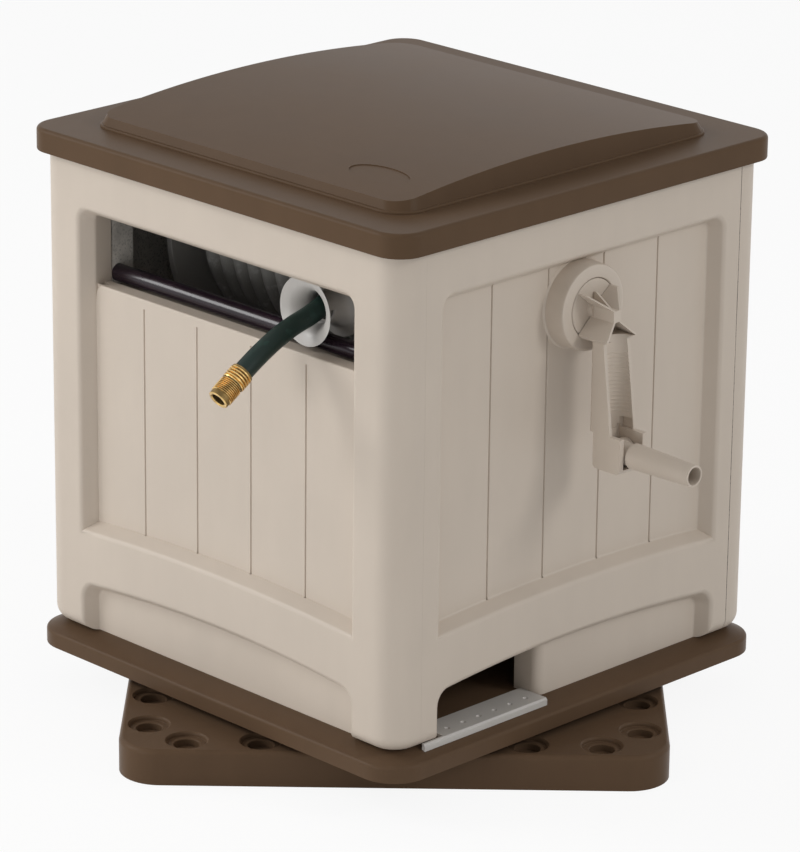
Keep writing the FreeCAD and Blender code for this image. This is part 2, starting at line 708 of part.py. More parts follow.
def outlet_elbow():
    start, end = on_axle(-(DRUM_HALF - AXLE_REACH_IN)), on_axle(outlet_axis() + AXLE_REACH_IN)
    middle = on_axle(outlet_axis())
    body = rod(start, end, WATER_AXLE_R)
    inside_drum = math.sqrt(DRUM_R ** 2 - OUTLET_R ** 2)
    branch = rod(middle, middle + V(0, 0, inside_drum), OUTLET_R)
    elbow = body.fuse(branch)
    elbow = elbow.cut(rod(start, middle, WATER_BORE_R))
    return elbow.cut(rod(middle, middle + V(0, 0, DRUM_R + 1), WATER_BORE_R))


def hose_core():
    half = DRUM_HALF - SEAT_GAP
    return pipe(on_axle(-half), on_axle(half), CORE_R, DRUM_R + SEAT_GAP)


# Hose winding: a helix of one tube with straight ends
def helix_point(turn):
    angle = 2 * math.pi * turn
    x = (turn - TURNS / 2) * TURN_PITCH
    return V(x, WIND_R * math.cos(angle), REEL_Z + WIND_R * math.sin(angle))


def helix_tangent(turn):
    angle = 2 * math.pi * turn
    sweep = 2 * math.pi * WIND_R
    tangent = V(TURN_PITCH, -sweep * math.sin(angle), sweep * math.cos(angle))
    return tangent.normalize()


def tangent_arc(start, tangent, end):
    """Arc that leaves start along the tangent and passes through end."""
    chord = end - start
    along = chord.dot(tangent) / chord.Length
    across = tangent - chord * (along / chord.Length)
    half_turn = math.acos(max(-1.0, min(1.0, along)))
    sagitta = chord.Length / 2 * math.tan(half_turn / 2)
    middle = (start + end) * 0.5 + across.normalize() * sagitta
    return Part.Arc(start, middle, end).toShape()


def biarc(start, leaving, end, arriving):
    chord = end - start
    total = leaving + arriving
    spread = 2 * (1 - leaving.dot(arriving))
    slope = chord.dot(total)
    reach = (math.sqrt(slope * slope + spread * chord.dot(chord)) - slope) / spread
    joint = (start + leaving * reach + end - arriving * reach) * 0.5
    second = tangent_arc(end, arriving * -1, joint)
    return [tangent_arc(start, leaving, joint), second]


def winding_path():
    steps = 2 * TURNS
    edges = []
    for i in range(steps):
        here, there = i / 2, (i + 1) / 2
        edges += biarc(helix_point(here), helix_tangent(here), helix_point(there), helix_tangent(there))
    straight = 2 * HOSE_R
    first, last = helix_point(0), helix_point(TURNS)
    edges.insert(0, Part.LineSegment(first - helix_tangent(0) * straight, first).toShape())
    edges.append(Part.LineSegment(last, last + helix_tangent(TURNS) * straight).toShape())
    return Part.Wire(Part.__sortEdges__(edges))


def swept_tube(path, start, direction, radius):
    ring = Part.Wire(Part.Circle(start, direction, radius).toShape())
    return path.makePipeShell([ring], True, False)


def volume_ratio(tube, path):
    return tube.Volume / (math.pi * HOSE_R ** 2 * path.Length)


def hose_winding():
    path = winding_path()
    first = helix_point(0) - helix_tangent(0) * (2 * HOSE_R)
    tube = swept_tube(path, first, helix_tangent(0), HOSE_R)
    per_turn = 180
    samples = path.discretize(Number=TURNS * per_turn)
    skip = per_turn * 9 // 10
    nearest = min(samples[i].distanceToPoint(samples[j])
                  for i in range(0, len(samples), 2)
                  for j in range(i + skip, min(i + skip + per_turn // 5, len(samples))))
    print("winding: least gap to itself %.2f mm" % (nearest - 2 * HOSE_R))
    print("winding: length %.2f m, volume ratio %.4f" % (path.Length / 1000, volume_ratio(tube, path)))
    return tube


# Free end of the hose: once over the winding, through the guide and out of the window
def wrap_point(degrees, radius):
    angle = math.radians(degrees)
    return V(GUIDE_AT, radius * math.cos(angle), REEL_Z + radius * math.sin(angle))


def hose_route():
    corner_r = WRAP_R / math.cos(math.radians(22.5))
    over_winding = [wrap_point(degrees, corner_r) for degrees in (-30.0, 15.0, 60.0, 105.0)]
    last_lap = wrap_point(-73.0, corner_r)
    in_guide = V(GUIDE_AT, ROUTE_PAST_ROD - ROD_BACK, THROAT_Z - ROUTE_BEND_DROP)
    sag = (over_winding[-1] + in_guide) * 0.5 - V(0, 0, ROUTE_SAG)
    outside = in_guide - V(0, WINDOW_REACH[0], WINDOW_REACH[1])
    end = outside - V(0, HANG_REACH[0], HANG_REACH[1])
    return [last_lap] + over_winding + [sag, in_guide, outside, end]


def rounded_path(route):
    """Straight runs joined by tangent arcs, each as large as its runs allow, and the arcs' radii."""
    edges = []
    radii = []
    here = route[0]
    for before, corner, after in zip(route, route[1:], route[2:]):
        back, ahead = (before - corner), (after - corner)
        run = min(back.Length, ahead.Length)
        back.normalize()
        ahead.normalize()
        half_turn = (math.pi - back.getAngle(ahead)) / 2
        trim = 0.45 * run
        radius = trim / math.tan(half_turn)
        radii.append(radius)
        start, end = corner + back * trim, corner + ahead * trim
        inward = (back + ahead).normalize()
        middle = corner + inward * (radius / math.cos(half_turn) - radius)
        edges.append(Part.LineSegment(here, start).toShape())
        edges.append(Part.Arc(start, middle, end).toShape())
        here = end
    edges.append(Part.LineSegment(here, route[-1]).toShape())
    return Part.Wire(edges), radii


def hose_lead():
    route = hose_route()
    path, radii = rounded_path(route)
    tube = swept_tube(path, route[0], route[1] - route[0], HOSE_R)
    print("hose lead: radii in diameters " + ", ".join("%.1f" % (r / (2 * HOSE_R)) for r in radii))
    print("hose lead: runs " + ", ".join("%.0f" % (b - a).Length for a, b in zip(route, route[1:])))
    print("hose lead: length %.3f m, volume ratio %.4f" % (path.Length / 1000, volume_ratio(tube, path)))
    return tube


def hose_coupling():
    route = hose_route()
    end = route[-1]
    axis = end - route[-2]
    thread = COUPLING_LENGTH - FERRULE_LENGTH
    seat = SEAT_GAP
    half, mouth = FERRULE_LENGTH / 2, FERRULE_LENGTH / 2 + thread
    profile = [(seat, COUPLING_BORE_R), (seat, HOSE_R + SEAT_GAP), (-half, HOSE_R + SEAT_GAP),
               (-half, FERRULE_R), (half, FERRULE_R), (half, THREAD_R),
               (mouth, THREAD_R), (mouth, COUPLING_BORE_R)]
    return turned(profile, end, axis)


# Water inlet on the left side
def inlet_bearing():
    seat = inlet_seat()
    wall = -PANEL_BACK
    open_end = seat + INLET_BODY_LENGTH
    middle = seat + INLET_BODY_LENGTH / 2
    flange = rod(on_axle(wall), on_axle(seat), INLET_FLANGE_R)
    body = rod(on_axle(seat), on_axle(open_end), INLET_BODY_R)
    foot = on_axle(middle) - V(0, 0, INLET_DROP)
    nipple = rod(foot, foot + V(0, 0, THREAD_LENGTH), THREAD_R)
    drop = rod(foot, on_axle(middle), THREAD_R - THREAD_DEPTH)
    inlet = flange.fuse([body, drop, nipple])
    chamber = rod(on_axle(seat), on_axle(open_end), WATER_AXLE_R + RUN_GAP)
    return inlet.cut([chamber, rod(foot, on_axle(middle), WATER_BORE_R)]).removeSplitter()


def inlet_seal():
    start = inlet_seat() + SEAT_GAP
    return pipe(on_axle(start), on_axle(start + SEAL_THICK), WATER_AXLE_R - SEAT_GAP, WATER_BORE_R)


# Crank
def crank_bezel():
    front, seat = HUB_FACE, RECESS_FACE
    spigot = seat - BEZEL_WEB - SEAT_GAP
    cavity = HUB_R + HUB_GAP
    bore = DRIVE_AXLE_R + RUN_GAP
    profile = [(spigot, bore), (spigot, BEZEL_SPIGOT_R), (seat, BEZEL_SPIGOT_R),
               (seat, BEZEL_R - BEZEL_RELIEF), (seat + BEZEL_RELIEF_DEPTH, BEZEL_R),
               (front - BEZEL_EDGE_R, BEZEL_R), (front, BEZEL_R - BEZEL_EDGE_R), (front, cavity),
               (seat - SEAT_GAP, cavity), (seat - SEAT_GAP, bore)]
    return turned(profile, on_axle(0), X_AXIS)


def crank_hub():
    back, front = on_axle(RECESS_FACE), on_axle(HUB_FACE)
    head_seat = on_axle(RECESS_FACE + CRANK_SCREW_HEAD)
    screw = rod(back, front, CRANK_SCREW_R + RUN_GAP).fuse(rod(back, head_seat, CRANK_SCREW_HEAD_R + RUN_GAP))
    return rod(back, front, HUB_R).cut(screw)


def mirrored_prism(half_outline, x0, x1):
    """Prism along X from (y, height above the axle) points and their mirror images."""
    points = [V(x0, y, REEL_Z + z) for y, z in half_outline]
    points += [V(x0, -y, REEL_Z + z) for y, z in reversed(half_outline)]
    return Part.Face(Part.makePolygon(points + points[:1])).extrude(V(x1 - x0, 0, 0))


def side_prism(outline, half):
    """Prism along Y from (x, height above the axle) points."""
    points = [V(x, -half, REEL_Z + z) for x, z in outline]
    return Part.Face(Part.makePolygon(points + points[:1])).extrude(V(0, 2 * half, 0))


def crank_neck():
    """Bow-tie neck: a solid waist, two wings that fall back to the hub, and a pocket over the trough."""
    back, tip, front = HUB_FACE + ARM_CLEAR, HUB_FACE + NECK_TIP, ARM_FRONT
    low_front = ARM_FRONT - ARM_LEAN
    seen_from_front = mirrored_prism([(ARM_HALF, NECK_LOW), (ARM_HALF, TROUGH_TOP), (WAIST_HALF, WAIST_LOW),
                                      (WAIST_HALF, WAIST_TOP), (ARM_HALF, NECK_TOP)], back, front)
    seen_from_side = side_prism([(back, NECK_LOW), (low_front, NECK_LOW), (low_front, TROUGH_TOP),
                                 (front, WAIST_LOW), (front, WAIST_TOP), (tip, NECK_TOP), (back, NECK_TOP)], ARM_HALF)
    waist, flare = WAIST_HALF - LIP_WALL, ARM_HALF - LIP_WALL
    between_wings = mirrored_prism([(waist, WAIST_TOP), (flare, NECK_TOP), (flare, NECK_TOP + 1)],
                                   HUB_FACE, front + 1)
    pocket = mirrored_prism([(flare, TROUGH_TOP), (waist, WAIST_LOW)], HUB_FACE + POCKET_FLOOR, front + 1)
    fin = side_prism([(back, WAIST_TOP), (HUB_FACE + FIN_FOOT, WAIST_TOP), (HUB_FACE + FIN_TIP, FIN_TOP),
                      (back, FIN_TOP)], FIN_THICK / 2)
    return seen_from_front.common(seen_from_side).cut([between_wings, pocket]).fuse(fin)


def screw_tip():
    return ARM_FRONT - 2 * LIP_WALL


def crank_arm():
    top, foot = REEL_Z + TROUGH_TOP, FORK_TOP - REEL_Z
    trough = side_prism([(ARM_BACK, foot), (ARM_FRONT + ARM_LEAN, foot), (ARM_FRONT - ARM_LEAN, TROUGH_TOP),
                         (ARM_BACK, TROUGH_TOP)], ARM_HALF)
    trough = round_edges(trough, ARM_EDGE_R,
                         lambda b: near(b.XMax, ARM_BACK) and near(b.YLength, 0) and near(b.XLength, 0))
    fork_low = GRIP_Z - KNUCKLE_R - KNUCKLE_CLEAR - FORK_BACK_WALL
    fork_back = ARM_FRONT - KNUCKLE_R - SEAT_GAP - FORK_BACK_WALL
    fork = box(fork_back, FORK_FRONT, -FORK_HALF, FORK_HALF, fork_low, FORK_TOP)
    fork = round_edges(fork, FORK_BACK_WALL, lambda b: near(b.ZMax, fork_low) and near(b.XLength, 0))
    boss = rod(on_axle(HUB_FACE), on_axle(HUB_FACE + POCKET_FLOOR), WAIST_HALF)
    arm = trough.fuse([crank_neck(), fork, boss])
    slot_half = FORK_HALF - FORK_CHEEK
    clear_back = fork_back + FORK_BACK_WALL
    slot_low = GRIP_Z - KNUCKLE_R - KNUCKLE_CLEAR
    slot = box(clear_back, FORK_FRONT + WALL, -slot_half, slot_half, slot_low, FORK_TOP + WALL)
    hollow = rod(V(ARM_FRONT, 0, FORK_TOP), V(ARM_FRONT, 0, top), TROUGH_R)
    mouth = box(ARM_FRONT, FORK_FRONT, -TROUGH_R, TROUGH_R, FORK_TOP, top)
    hole_front = ARM_FRONT + HOLE_FRONT
    hole = box(hole_front - HOLE_WIDTH, hole_front, 0, ARM_HALF + WALL, FORK_TOP, FORK_TOP + HOLE_HEIGHT)
    pin = rod(V(ARM_FRONT, -FORK_HALF, GRIP_Z), V(ARM_FRONT, FORK_HALF, GRIP_Z), GRIP_PIN_R + RUN_GAP)
    screw = rod(on_axle(HUB_FACE), on_axle(screw_tip()), CRANK_SCREW_R + RUN_GAP)
    return arm.cut([slot, hollow, mouth, hole, pin, screw]).removeSplitter()


def crank_screw():
    """Screw from the hub's back into the arm's waist."""
    seat = RECESS_FACE + CRANK_SCREW_HEAD
    profile = [(RECESS_FACE, 0), (RECESS_FACE, CRANK_SCREW_HEAD_R), (seat, CRANK_SCREW_HEAD_R),
               (seat, CRANK_SCREW_R), (screw_tip(), CRANK_SCREW_R), (screw_tip(), 0)]
    return turned(profile, on_axle(0), X_AXIS)


def grip_pin():
    return rod(V(ARM_FRONT, -FORK_HALF, GRIP_Z), V(ARM_FRONT, FORK_HALF, GRIP_Z), GRIP_PIN_R)


def crank_grip():
    half = FORK_HALF - FORK_CHEEK - SEAT_GAP
    pivot = V(ARM_FRONT, 0, GRIP_Z)
    knuckle = rod(pivot - Y_AXIS * half, pivot + Y_AXIS * half, KNUCKLE_R)
    root = FORK_REACH + KNUCKLE_CLEAR
    tip, floor = root + GRIP_LENGTH, root + GRIP_ROOT_R
    neck = rod(pivot, pivot + X_AXIS * (root + KNUCKLE_CLEAR), KNUCKLE_R)
    taper = [(root, 0), (root, GRIP_ROOT_R - GRIP_EDGE), (root + GRIP_EDGE, GRIP_ROOT_R),
             (tip, GRIP_TIP_R), (tip, GRIP_BORE_R), (floor, GRIP_BORE_R - GRIP_EDGE), (floor, 0)]
    grip = knuckle.fuse([neck, turned(taper, pivot, X_AXIS)])
    half_pin = Y_AXIS * FORK_HALF
    return grip.cut(rod(pivot - half_pin, pivot + half_pin, GRIP_PIN_R + RUN_GAP)).removeSplitter()


# Hose guide on its rod
def guide_rod():
    reach = RECESS_HALF + SOCKET_THICK
    return pipe(V(-reach, -ROD_BACK, ROD_Z), V(reach, -ROD_BACK, ROD_Z), ROD_R, ROD_BORE_R)


def bell(radius_offset):
    """Bell-mouthed throat round the hose, wide at both ends."""
    ends = GUIDE_HALF_LENGTH
    throat, mouth = GUIDE_THROAT_R + radius_offset, GUIDE_MOUTH_R + radius_offset
    a, b, c = V(mouth, 0, -ends), V(throat, 0, 0), V(mouth, 0, ends)
    low, high = V(0, 0, -ends), V(0, 0, ends)
    sides = [Part.LineSegment(p, q).toShape() for p, q in ((c, high), (high, low), (low, a))]
    solid = Part.Face(Part.Wire([Part.Arc(a, b, c).toShape()] + sides)).revolve(V(0, 0, 0), UP, 360)
    place = FreeCAD.Placement(V(GUIDE_AT, -ROD_BACK, THROAT_Z), FreeCAD.Rotation(UP, Y_AXIS))
    return solid.transformed(place.toMatrix())


def hose_guide():
    left, right = GUIDE_AT - GUIDE_SLEEVE_HALF, GUIDE_AT + GUIDE_SLEEVE_HALF
    start, end = V(left, -ROD_BACK, ROD_Z), V(right, -ROD_BACK, ROD_Z)
    sleeve = rod(start, end, GUIDE_SLEEVE_R)
    neck = box(left, right, -ROD_BACK - GUIDE_WALL, -ROD_BACK + GUIDE_WALL, ROD_Z, THROAT_Z)
    saddle = bell(GUIDE_WALL).fuse(neck)
    reach = GUIDE_MOUTH_R + 2 * GUIDE_WALL
    keep = box(GUIDE_AT - reach, GUIDE_AT + reach, -ROD_BACK - reach, -ROD_BACK + reach,
               SILL_TOP + SILL_CLEAR, THROAT_Z + GUIDE_OPEN_RISE)
    guide = saddle.common(keep).fuse(sleeve)
    return guide.cut([bell(0), rod(start, end, ROD_R + GUIDE_SLIDE_GAP)]).removeSplitter()


PIECES = {
    "base_plate": base_plate,
    "slip_ring": slip_ring,
    "pivot_bolt": pivot_bolt,
    "pivot_washer": pivot_washer,
    "tray": tray,
    "front_panel": front_panel,
    "right_panel": right_panel,
    "left_panel": left_panel,
    "back_panel": back_panel,
    "panel_screws": panel_screws,
    "leader_sill": leader_sill,
    "lid": lid,
    "lid_hinge_pins": lid_hinge_pins,
    "reel_drum": reel_drum,
    "drive_axle": drive_axle,
    "water_axle": water_axle,
    "outlet_elbow": outlet_elbow,
    "hose_core": hose_core,
    "hose_winding": hose_winding,
    "hose_lead": hose_lead,
    "hose_coupling": hose_coupling,
    "inlet_bearing": inlet_bearing,
    "inlet_seal": inlet_seal,
    "crank_bezel": crank_bezel,
    "crank_hub": crank_hub,
    "crank_arm": crank_arm,
    "crank_screw": crank_screw,
    "grip_pin": grip_pin,
    "crank_grip": crank_grip,
    "guide_rod": guide_rod,
    "hose_guide": hose_guide,
}


def main():
    os.makedirs("parts", exist_ok=True)
    shapes = {name: make() for name, make in PIECES.items()}
    shapes["flange_right"] = reel_flange(1, DRIVE_AXLE_R)
    shapes["flange_left"] = reel_flange(-1, WATER_AXLE_R)
    for name, shape in shapes.items():
        shape.exportStep("parts/%s.step" % name)
        b = shape.BoundBox
        print("%-16s solids %d valid %s volume %.1f cm3 z %.1f to %.1f"
              % (name, len(shape.Solids), shape.isValid(), shape.Volume / 1000, b.ZMin, b.ZMax))


main()
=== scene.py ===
import math

import bmesh
import bpy
from bpy.props import FloatProperty, FloatVectorProperty, IntProperty, PointerProperty
from mathutils import Matrix, Vector


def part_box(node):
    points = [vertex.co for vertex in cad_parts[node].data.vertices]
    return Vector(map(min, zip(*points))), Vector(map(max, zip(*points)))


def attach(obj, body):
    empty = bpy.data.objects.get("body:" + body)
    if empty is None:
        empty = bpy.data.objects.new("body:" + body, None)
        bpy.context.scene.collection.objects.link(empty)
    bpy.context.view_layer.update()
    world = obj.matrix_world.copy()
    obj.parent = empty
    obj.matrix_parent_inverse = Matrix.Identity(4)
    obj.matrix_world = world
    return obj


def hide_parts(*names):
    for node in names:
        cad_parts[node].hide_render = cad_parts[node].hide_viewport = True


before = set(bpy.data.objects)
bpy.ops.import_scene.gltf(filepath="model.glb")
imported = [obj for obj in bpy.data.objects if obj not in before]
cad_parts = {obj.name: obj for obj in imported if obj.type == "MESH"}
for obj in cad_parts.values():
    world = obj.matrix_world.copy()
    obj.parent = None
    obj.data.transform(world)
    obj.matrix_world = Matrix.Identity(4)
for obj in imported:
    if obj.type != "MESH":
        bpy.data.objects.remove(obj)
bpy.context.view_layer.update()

bl_info = {
    "name": "Hose reel box",
    "version": (1, 0, 0),
    "blender": (4, 5, 0),
    "location": "View3D > Sidebar > Hose reel",
    "description": "Dresses a square garden hose reel box on a swivel base, piece by piece",
    "category": "Add Mesh",
}

X, Y, Z = Vector((1, 0, 0)), Vector((0, 1, 0)), Vector((0, 0, 1))
TINY = 1e-5
FULL_TURN = 2 * math.pi

# Heights and half widths that the parts in model.glb give
PANEL_LOW, PANEL_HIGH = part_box("front_panel")
TRAY_LOW, TRAY_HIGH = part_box("tray")
HUB_LOW, HUB_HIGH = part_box("crank_hub")
LID_HALF, LID_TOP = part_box("lid")[1].x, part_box("lid")[1].z
BASE_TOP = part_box("base_plate")[1].z
REEL_Z = (HUB_LOW.z + HUB_HIGH.z) / 2
BOX_HALF, FLOOR, PANEL_TOP = PANEL_HIGH.x, PANEL_LOW.z, PANEL_HIGH.z

# Shared small sizes in metres: how far waste runs past a face, and the gap of a loose fit
PAST, FIT = 0.001, 0.0003

# Bores for the pivot, the hinge's pin, the grip's pin and the crank's screw, and the reel's hole in a panel
PIVOT_BORE, HINGE_BORE, PIN_BORE, SCREW_BORE, AXLE_HOLE = 0.00605, 0.00255, 0.00405, 0.00305, 0.0393

# Hinge: its pin's radius, and where its middle and its knuckles end, from the hinge's own middle
HINGE_PIN, HINGE_HALF, KNUCKLE_END = 0.0025, 0.020, 0.035

# Under the base and the tray: half a rib, the pivot's boss, the base's ring and the tray's track
RIB_HALF, BOSS_RADIUS, RING_RADII, TRACK_RADII = 0.0015, 0.030, (0.190, 0.194), (0.178, 0.202)

# Depths of a well's step and floor, reach of the waste for the grip's pin, and the angle of a sharp edge
WELL_STEP, WELL_FLOOR, PIN_REACH, SHARP = 0.005, 0.013, 0.03, math.radians(32)


# Settings
def length(name, default, description):
    return FloatProperty(name=name, description=description, default=default, unit="LENGTH", precision=4)


def colour(name, default, description):
    return FloatVectorProperty(name=name, description=description, default=default, subtype="COLOR",
                               size=4, min=0.0, max=1.0)


class CabinetSizes(bpy.types.PropertyGroup):
    """Sizes of the box, its lid, its tray and its base."""
    wall: length("Wall", 0.004, "Thickness of the moulded walls")
    corner: length("Corner radius", 0.035, "Radius of the box's upright corners")
    foot: length("Foot radius", 0.018, "Radius along the foot of the box")
    seam: length("Seam", 0.247, "Distance from the middle to the seams between the panels")
    seam_gap: length("Seam gap", 0.0001, "Open line between two panels")
    back_gap: length("Back seam gap", 0.0011, "Open line between the right panel and the back")
    recess_depth: length("Recess depth", 0.018, "How far the boards lie behind the frame")
    recess_half: length("Recess half width", 0.211, "Half the width of the boarded recess at its boards")
    recess_draft: length("Recess draft", 0.011, "How much wider a recess is at the panel's face")
    recess_low: length("Recess foot", 0.133, "Height of the recess above the floor of the box")
    recess_high: length("Recess top", 0.497, "Top of the recess above the floor of the box")
    recess_round: length("Recess corner", 0.0055, "Radius of the recess's upper corners")
    rim_round: length("Rim rounding", 0.004, "Rounding of the frame's edge round a recess")
    arch: length("Arch", 0.0085, "Rise of the rail's upper edge in the middle")
    rail: length("Rail height", 0.0833, "Height of the arched rail behind its face")
    toe_half: length("Toe recess half width", 0.211, "Half the width of the recess below the rail")
    toe_arch: length("Toe arch", 0.012, "Rise of the rail's lower edge in the middle")
    toe_round: length("Toe recess corner", 0.009, "Radius of the toe recess's upper corners")
    boards: IntProperty(name="Boards", description="Boards in each recess", default=5, min=1)
    board_tuck: length("Board tuck", 0.0065, "Part of the outer boards that the recess's sides cover")
    groove: length("Groove", 0.0024, "Width of the grooves between the boards")
    sill_top: length("Sill height", 0.416, "Top of the front boards above the floor of the box")
    sill_round: length("Sill rounding", 0.011, "Radius of the rolled edge along the front boards")
    sill_depth: length("Sill depth", 0.033, "Depth of the window's sill from the front")
    gutter: length("Gutter radius", 0.0155, "Radius of the sill's gutter round the rod")
    sill_thick: length("Sill thickness", 0.016, "Height of the sill's rolled edge")
    window_depth: length("Window depth", 0.042, "Depth of the window's sides from the front")
    leader_from: length("Supply opening start", -0.207, "Near end of the supply hose's opening")
    leader_to: length("Supply opening end", -0.047, "Far end of the supply hose's opening")
    leader_depth: length("Supply opening depth", 0.054, "Depth of the supply opening's duct")
    leader_round: length("Supply opening rounding", 0.011, "Radius of the supply opening's far edge")
    sill_plate: length("Supply sill depth", 0.043, "Depth of the supply sill from the panel's face")
    sill_wing: length("Supply sill wing", 0.032, "Length of the sill's lip beside the opening")
    dimple_pitch: length("Dimple pitch", 0.0246, "Distance from one dimple of the sill to the next")
    lid_corner: length("Lid corner", 0.033, "Radius of the lid's upright corners")
    lid_edge: length("Lid edge", 0.005, "Rounding along the lid's upper edge")
    lid_skirt: length("Lid skirt", 0.027, "Height of the lid's skirt")
    step_half: length("Step half width", 0.2478, "Half the width of the low step on the lid")
    step_height: length("Step height", 0.003, "Height of the low step on the lid")
    crown_half: length("Crown half width", 0.240, "Half the width of the raised crown")
    crown_corner: length("Crown corner", 0.026, "Radius of the crown's upright corners")
    crown_draft: length("Crown draft", 0.006, "How much wider the crown is at its foot")
    crown_edge: length("Crown edge", 0.012, "Height of the crown's front edge")
    crown_rise: length("Crown rise", 0.016, "Further rise of the crown at mid-depth")
    tray_corner: length("Tray corner", 0.043, "Radius of the tray's corners")
    tray_rim: length("Tray rim", 0.019, "Height of the tray's rim")
    tray_slope: length("Tray slope", 0.023, "Width of the sloping band round the tray")
    base_half: length("Base half width", 0.305, "Half the side of the square base")
    base_corner: length("Base corner", 0.047, "Radius of the base's corners")
    base_height: length("Base height", 0.041, "Height of the base's deck")
    base_edge: length("Base edge", 0.006, "Rounding along the base's deck")
    well_inset: length("Well inset", 0.032, "Distance of the wells from the base's edge")
    well_near: length("Inner wells", 0.147, "Place of the inner wells along an edge, from its middle")
    well_far: length("Outer wells", 0.229, "Place of the outer wells along an edge, from its middle")
    well_radius: length("Well radius", 0.022, "Radius of a well at the deck")
    well_step: length("Well step radius", 0.014, "Radius of a well below its step")
    hinge_at: length("Hinge place", 0.180, "Distance of the lid's hinges from the middle")
    hinge_radius: length("Hinge radius", 0.0045, "Radius of the hinge knuckles")


class CrankSizes(bpy.types.PropertyGroup):
    """Sizes of the crank and its boss."""
    bezel_radius: length("Boss radius", 0.050, "Radius of the round boss")
    hub_radius: length("Hub radius", 0.033, "Radius of the disc that turns in the boss")
    arm_half: length("Arm half width", 0.021, "Half the width of the crank's arm")
    trough: length("Trough radius", 0.017, "Radius of the trough that the grip folds into")
    trough_top: length("Trough top", -0.025, "Top of the trough, from the reel's axis")
    lean: length("Lean", 0.0065, "How far the trough's front leans out towards its foot")
    neck_top: length("Neck top", 0.0215, "Tips of the bow-tie neck's wings, from the reel's axis")
    neck_low: length("Neck foot", -0.029, "Foot of the bow-tie neck, from the reel's axis")
    neck_tip: length("Wing depth", 0.012, "Depth of the neck's wings at their tips")
    wing_top: length("Upper wing", 0.0262, "Half the width of the neck over the tips of its upper wings")
    wing_low: length("Lower wing", 0.0244, "Half the width of the neck over the tips of its lower wings")
    waist: length("Waist", 0.0058, "Half the width of the neck at its waist")
    waist_top: length("Waist top", 0.005, "Top of the neck's solid waist, from the reel's axis")
    waist_low: length("Waist foot", -0.008, "Foot of the neck's solid waist, from the reel's axis")
    lip: length("Lip", 0.0032, "Thickness of the neck's upright walls")
    fork_half: length("Fork half width", 0.021, "Half the width of the fork")
    fork_cheek: length("Fork cheek", 0.006, "Thickness of the fork's cheeks")
    fork_reach: length("Fork reach", 0.022, "Reach of the fork from the grip's pin")
    ribs: IntProperty(name="Trough ribs", description="Fine ribs in the trough", default=16, min=0)
    grip_root: length("Grip root radius", 0.0145, "Radius of the grip beside the fork")
    grip_tip: length("Grip tip radius", 0.0122, "Radius of the grip at its open end")
    grip_bore: length("Grip bore radius", 0.0098, "Radius of the grip's hollow")
    knuckle: length("Knuckle radius", 0.0125, "Radius of the grip's knuckle")


class HoseSizes(bpy.types.PropertyGroup):
    """Sizes of the hose, its coupling, its guide and the rod."""
    radius: length("Hose radius", 0.0112, "Outer radius of the hose")
    turns: IntProperty(name="Turns", description="Turns in each layer of the wound hose", default=17, min=1)
    pitch: length("Pitch", 0.023, "Distance from one turn to the next")
    wind_radius: length("Winding radius", 0.1167, "Radius of the outer layer's middle line")
    layer: length("Layer", 0.02245, "Distance from one layer to the next")
    ferrule: length("Ferrule radius", 0.0136, "Radius of the coupling's ringed ferrule")
    thread: length("Thread radius", 0.0132, "Outer radius of the coupling's thread")
    bore: length("Bore radius", 0.008, "Radius of the coupling's bore")
    rod: length("Rod radius", 0.010, "Radius of the guide's rod")
    sleeve: length("Sleeve radius", 0.015, "Radius of the guide's sleeve on the rod")
    throat: length("Throat radius", 0.0146, "Radius of the guide's throat")
    mouth: length("Mouth radius", 0.036, "Radius of the guide's mouth")
    guide_half: length("Guide half length", 0.025, "Half the length of the guide's bell")
    guide_wall: length("Guide wall", 0.003, "Thickness of the guide's wall")
    throat_rise: length("Throat rise", 0.0375, "Height of the throat over the rod")
    open_rise: length("Open rise", 0.033, "Height over the throat where the bell is cut open")


class ReelColours(bpy.types.PropertyGroup):
    """Colours of the finishes."""
    panel: colour("Panels", (0.575, 0.497, 0.418, 1), "Beige moulded panels and crank")
    # Paler than the panels: painted light that stands in for the light the closed box keeps from its inner
    # faces
    inside: colour("Inside", (0.74, 0.70, 0.64, 1), "Dusty inner faces of the panels")
    lid: colour("Lid", (0.110, 0.068, 0.040, 1), "Brown lid")
    base: colour("Base", (0.112, 0.069, 0.041, 1), "Brown tray and base")
    guide: colour("Guide", (0.54, 0.515, 0.485, 1), "Pale grey hose guide and sill")
    rod: colour("Rod", (0.014, 0.008, 0.012, 1), "Dark coating of the rod")
    hose: colour("Hose", (0.006, 0.019, 0.015, 1), "Dark green hose")
    # Pale grey rather than the lead's dark green: painted light for the hose in the shaded box
    stored: colour("Stored hose", (0.36, 0.352, 0.33, 1), "Dusty hose on the reel")
    brass: colour("Brass", (0.83, 0.56, 0.22, 1), "Brass fittings")
    # Lightened grey: painted light for the reel in the shaded inside of the box
    reel: colour("Reel", (0.46, 0.446, 0.42, 1), "Grey reel")
    steel: colour("Steel", (0.58, 0.58, 0.58, 1), "Zinc-plated screws and pins")
    bearing: colour("Bearing", (0.68, 0.67, 0.64, 1), "White slip ring")
    seal: colour("Seal", (0.018, 0.018, 0.018, 1), "Rubber seal")
    floor: colour("Floor", (0.90, 0.90, 0.90, 1), "Pale floor")


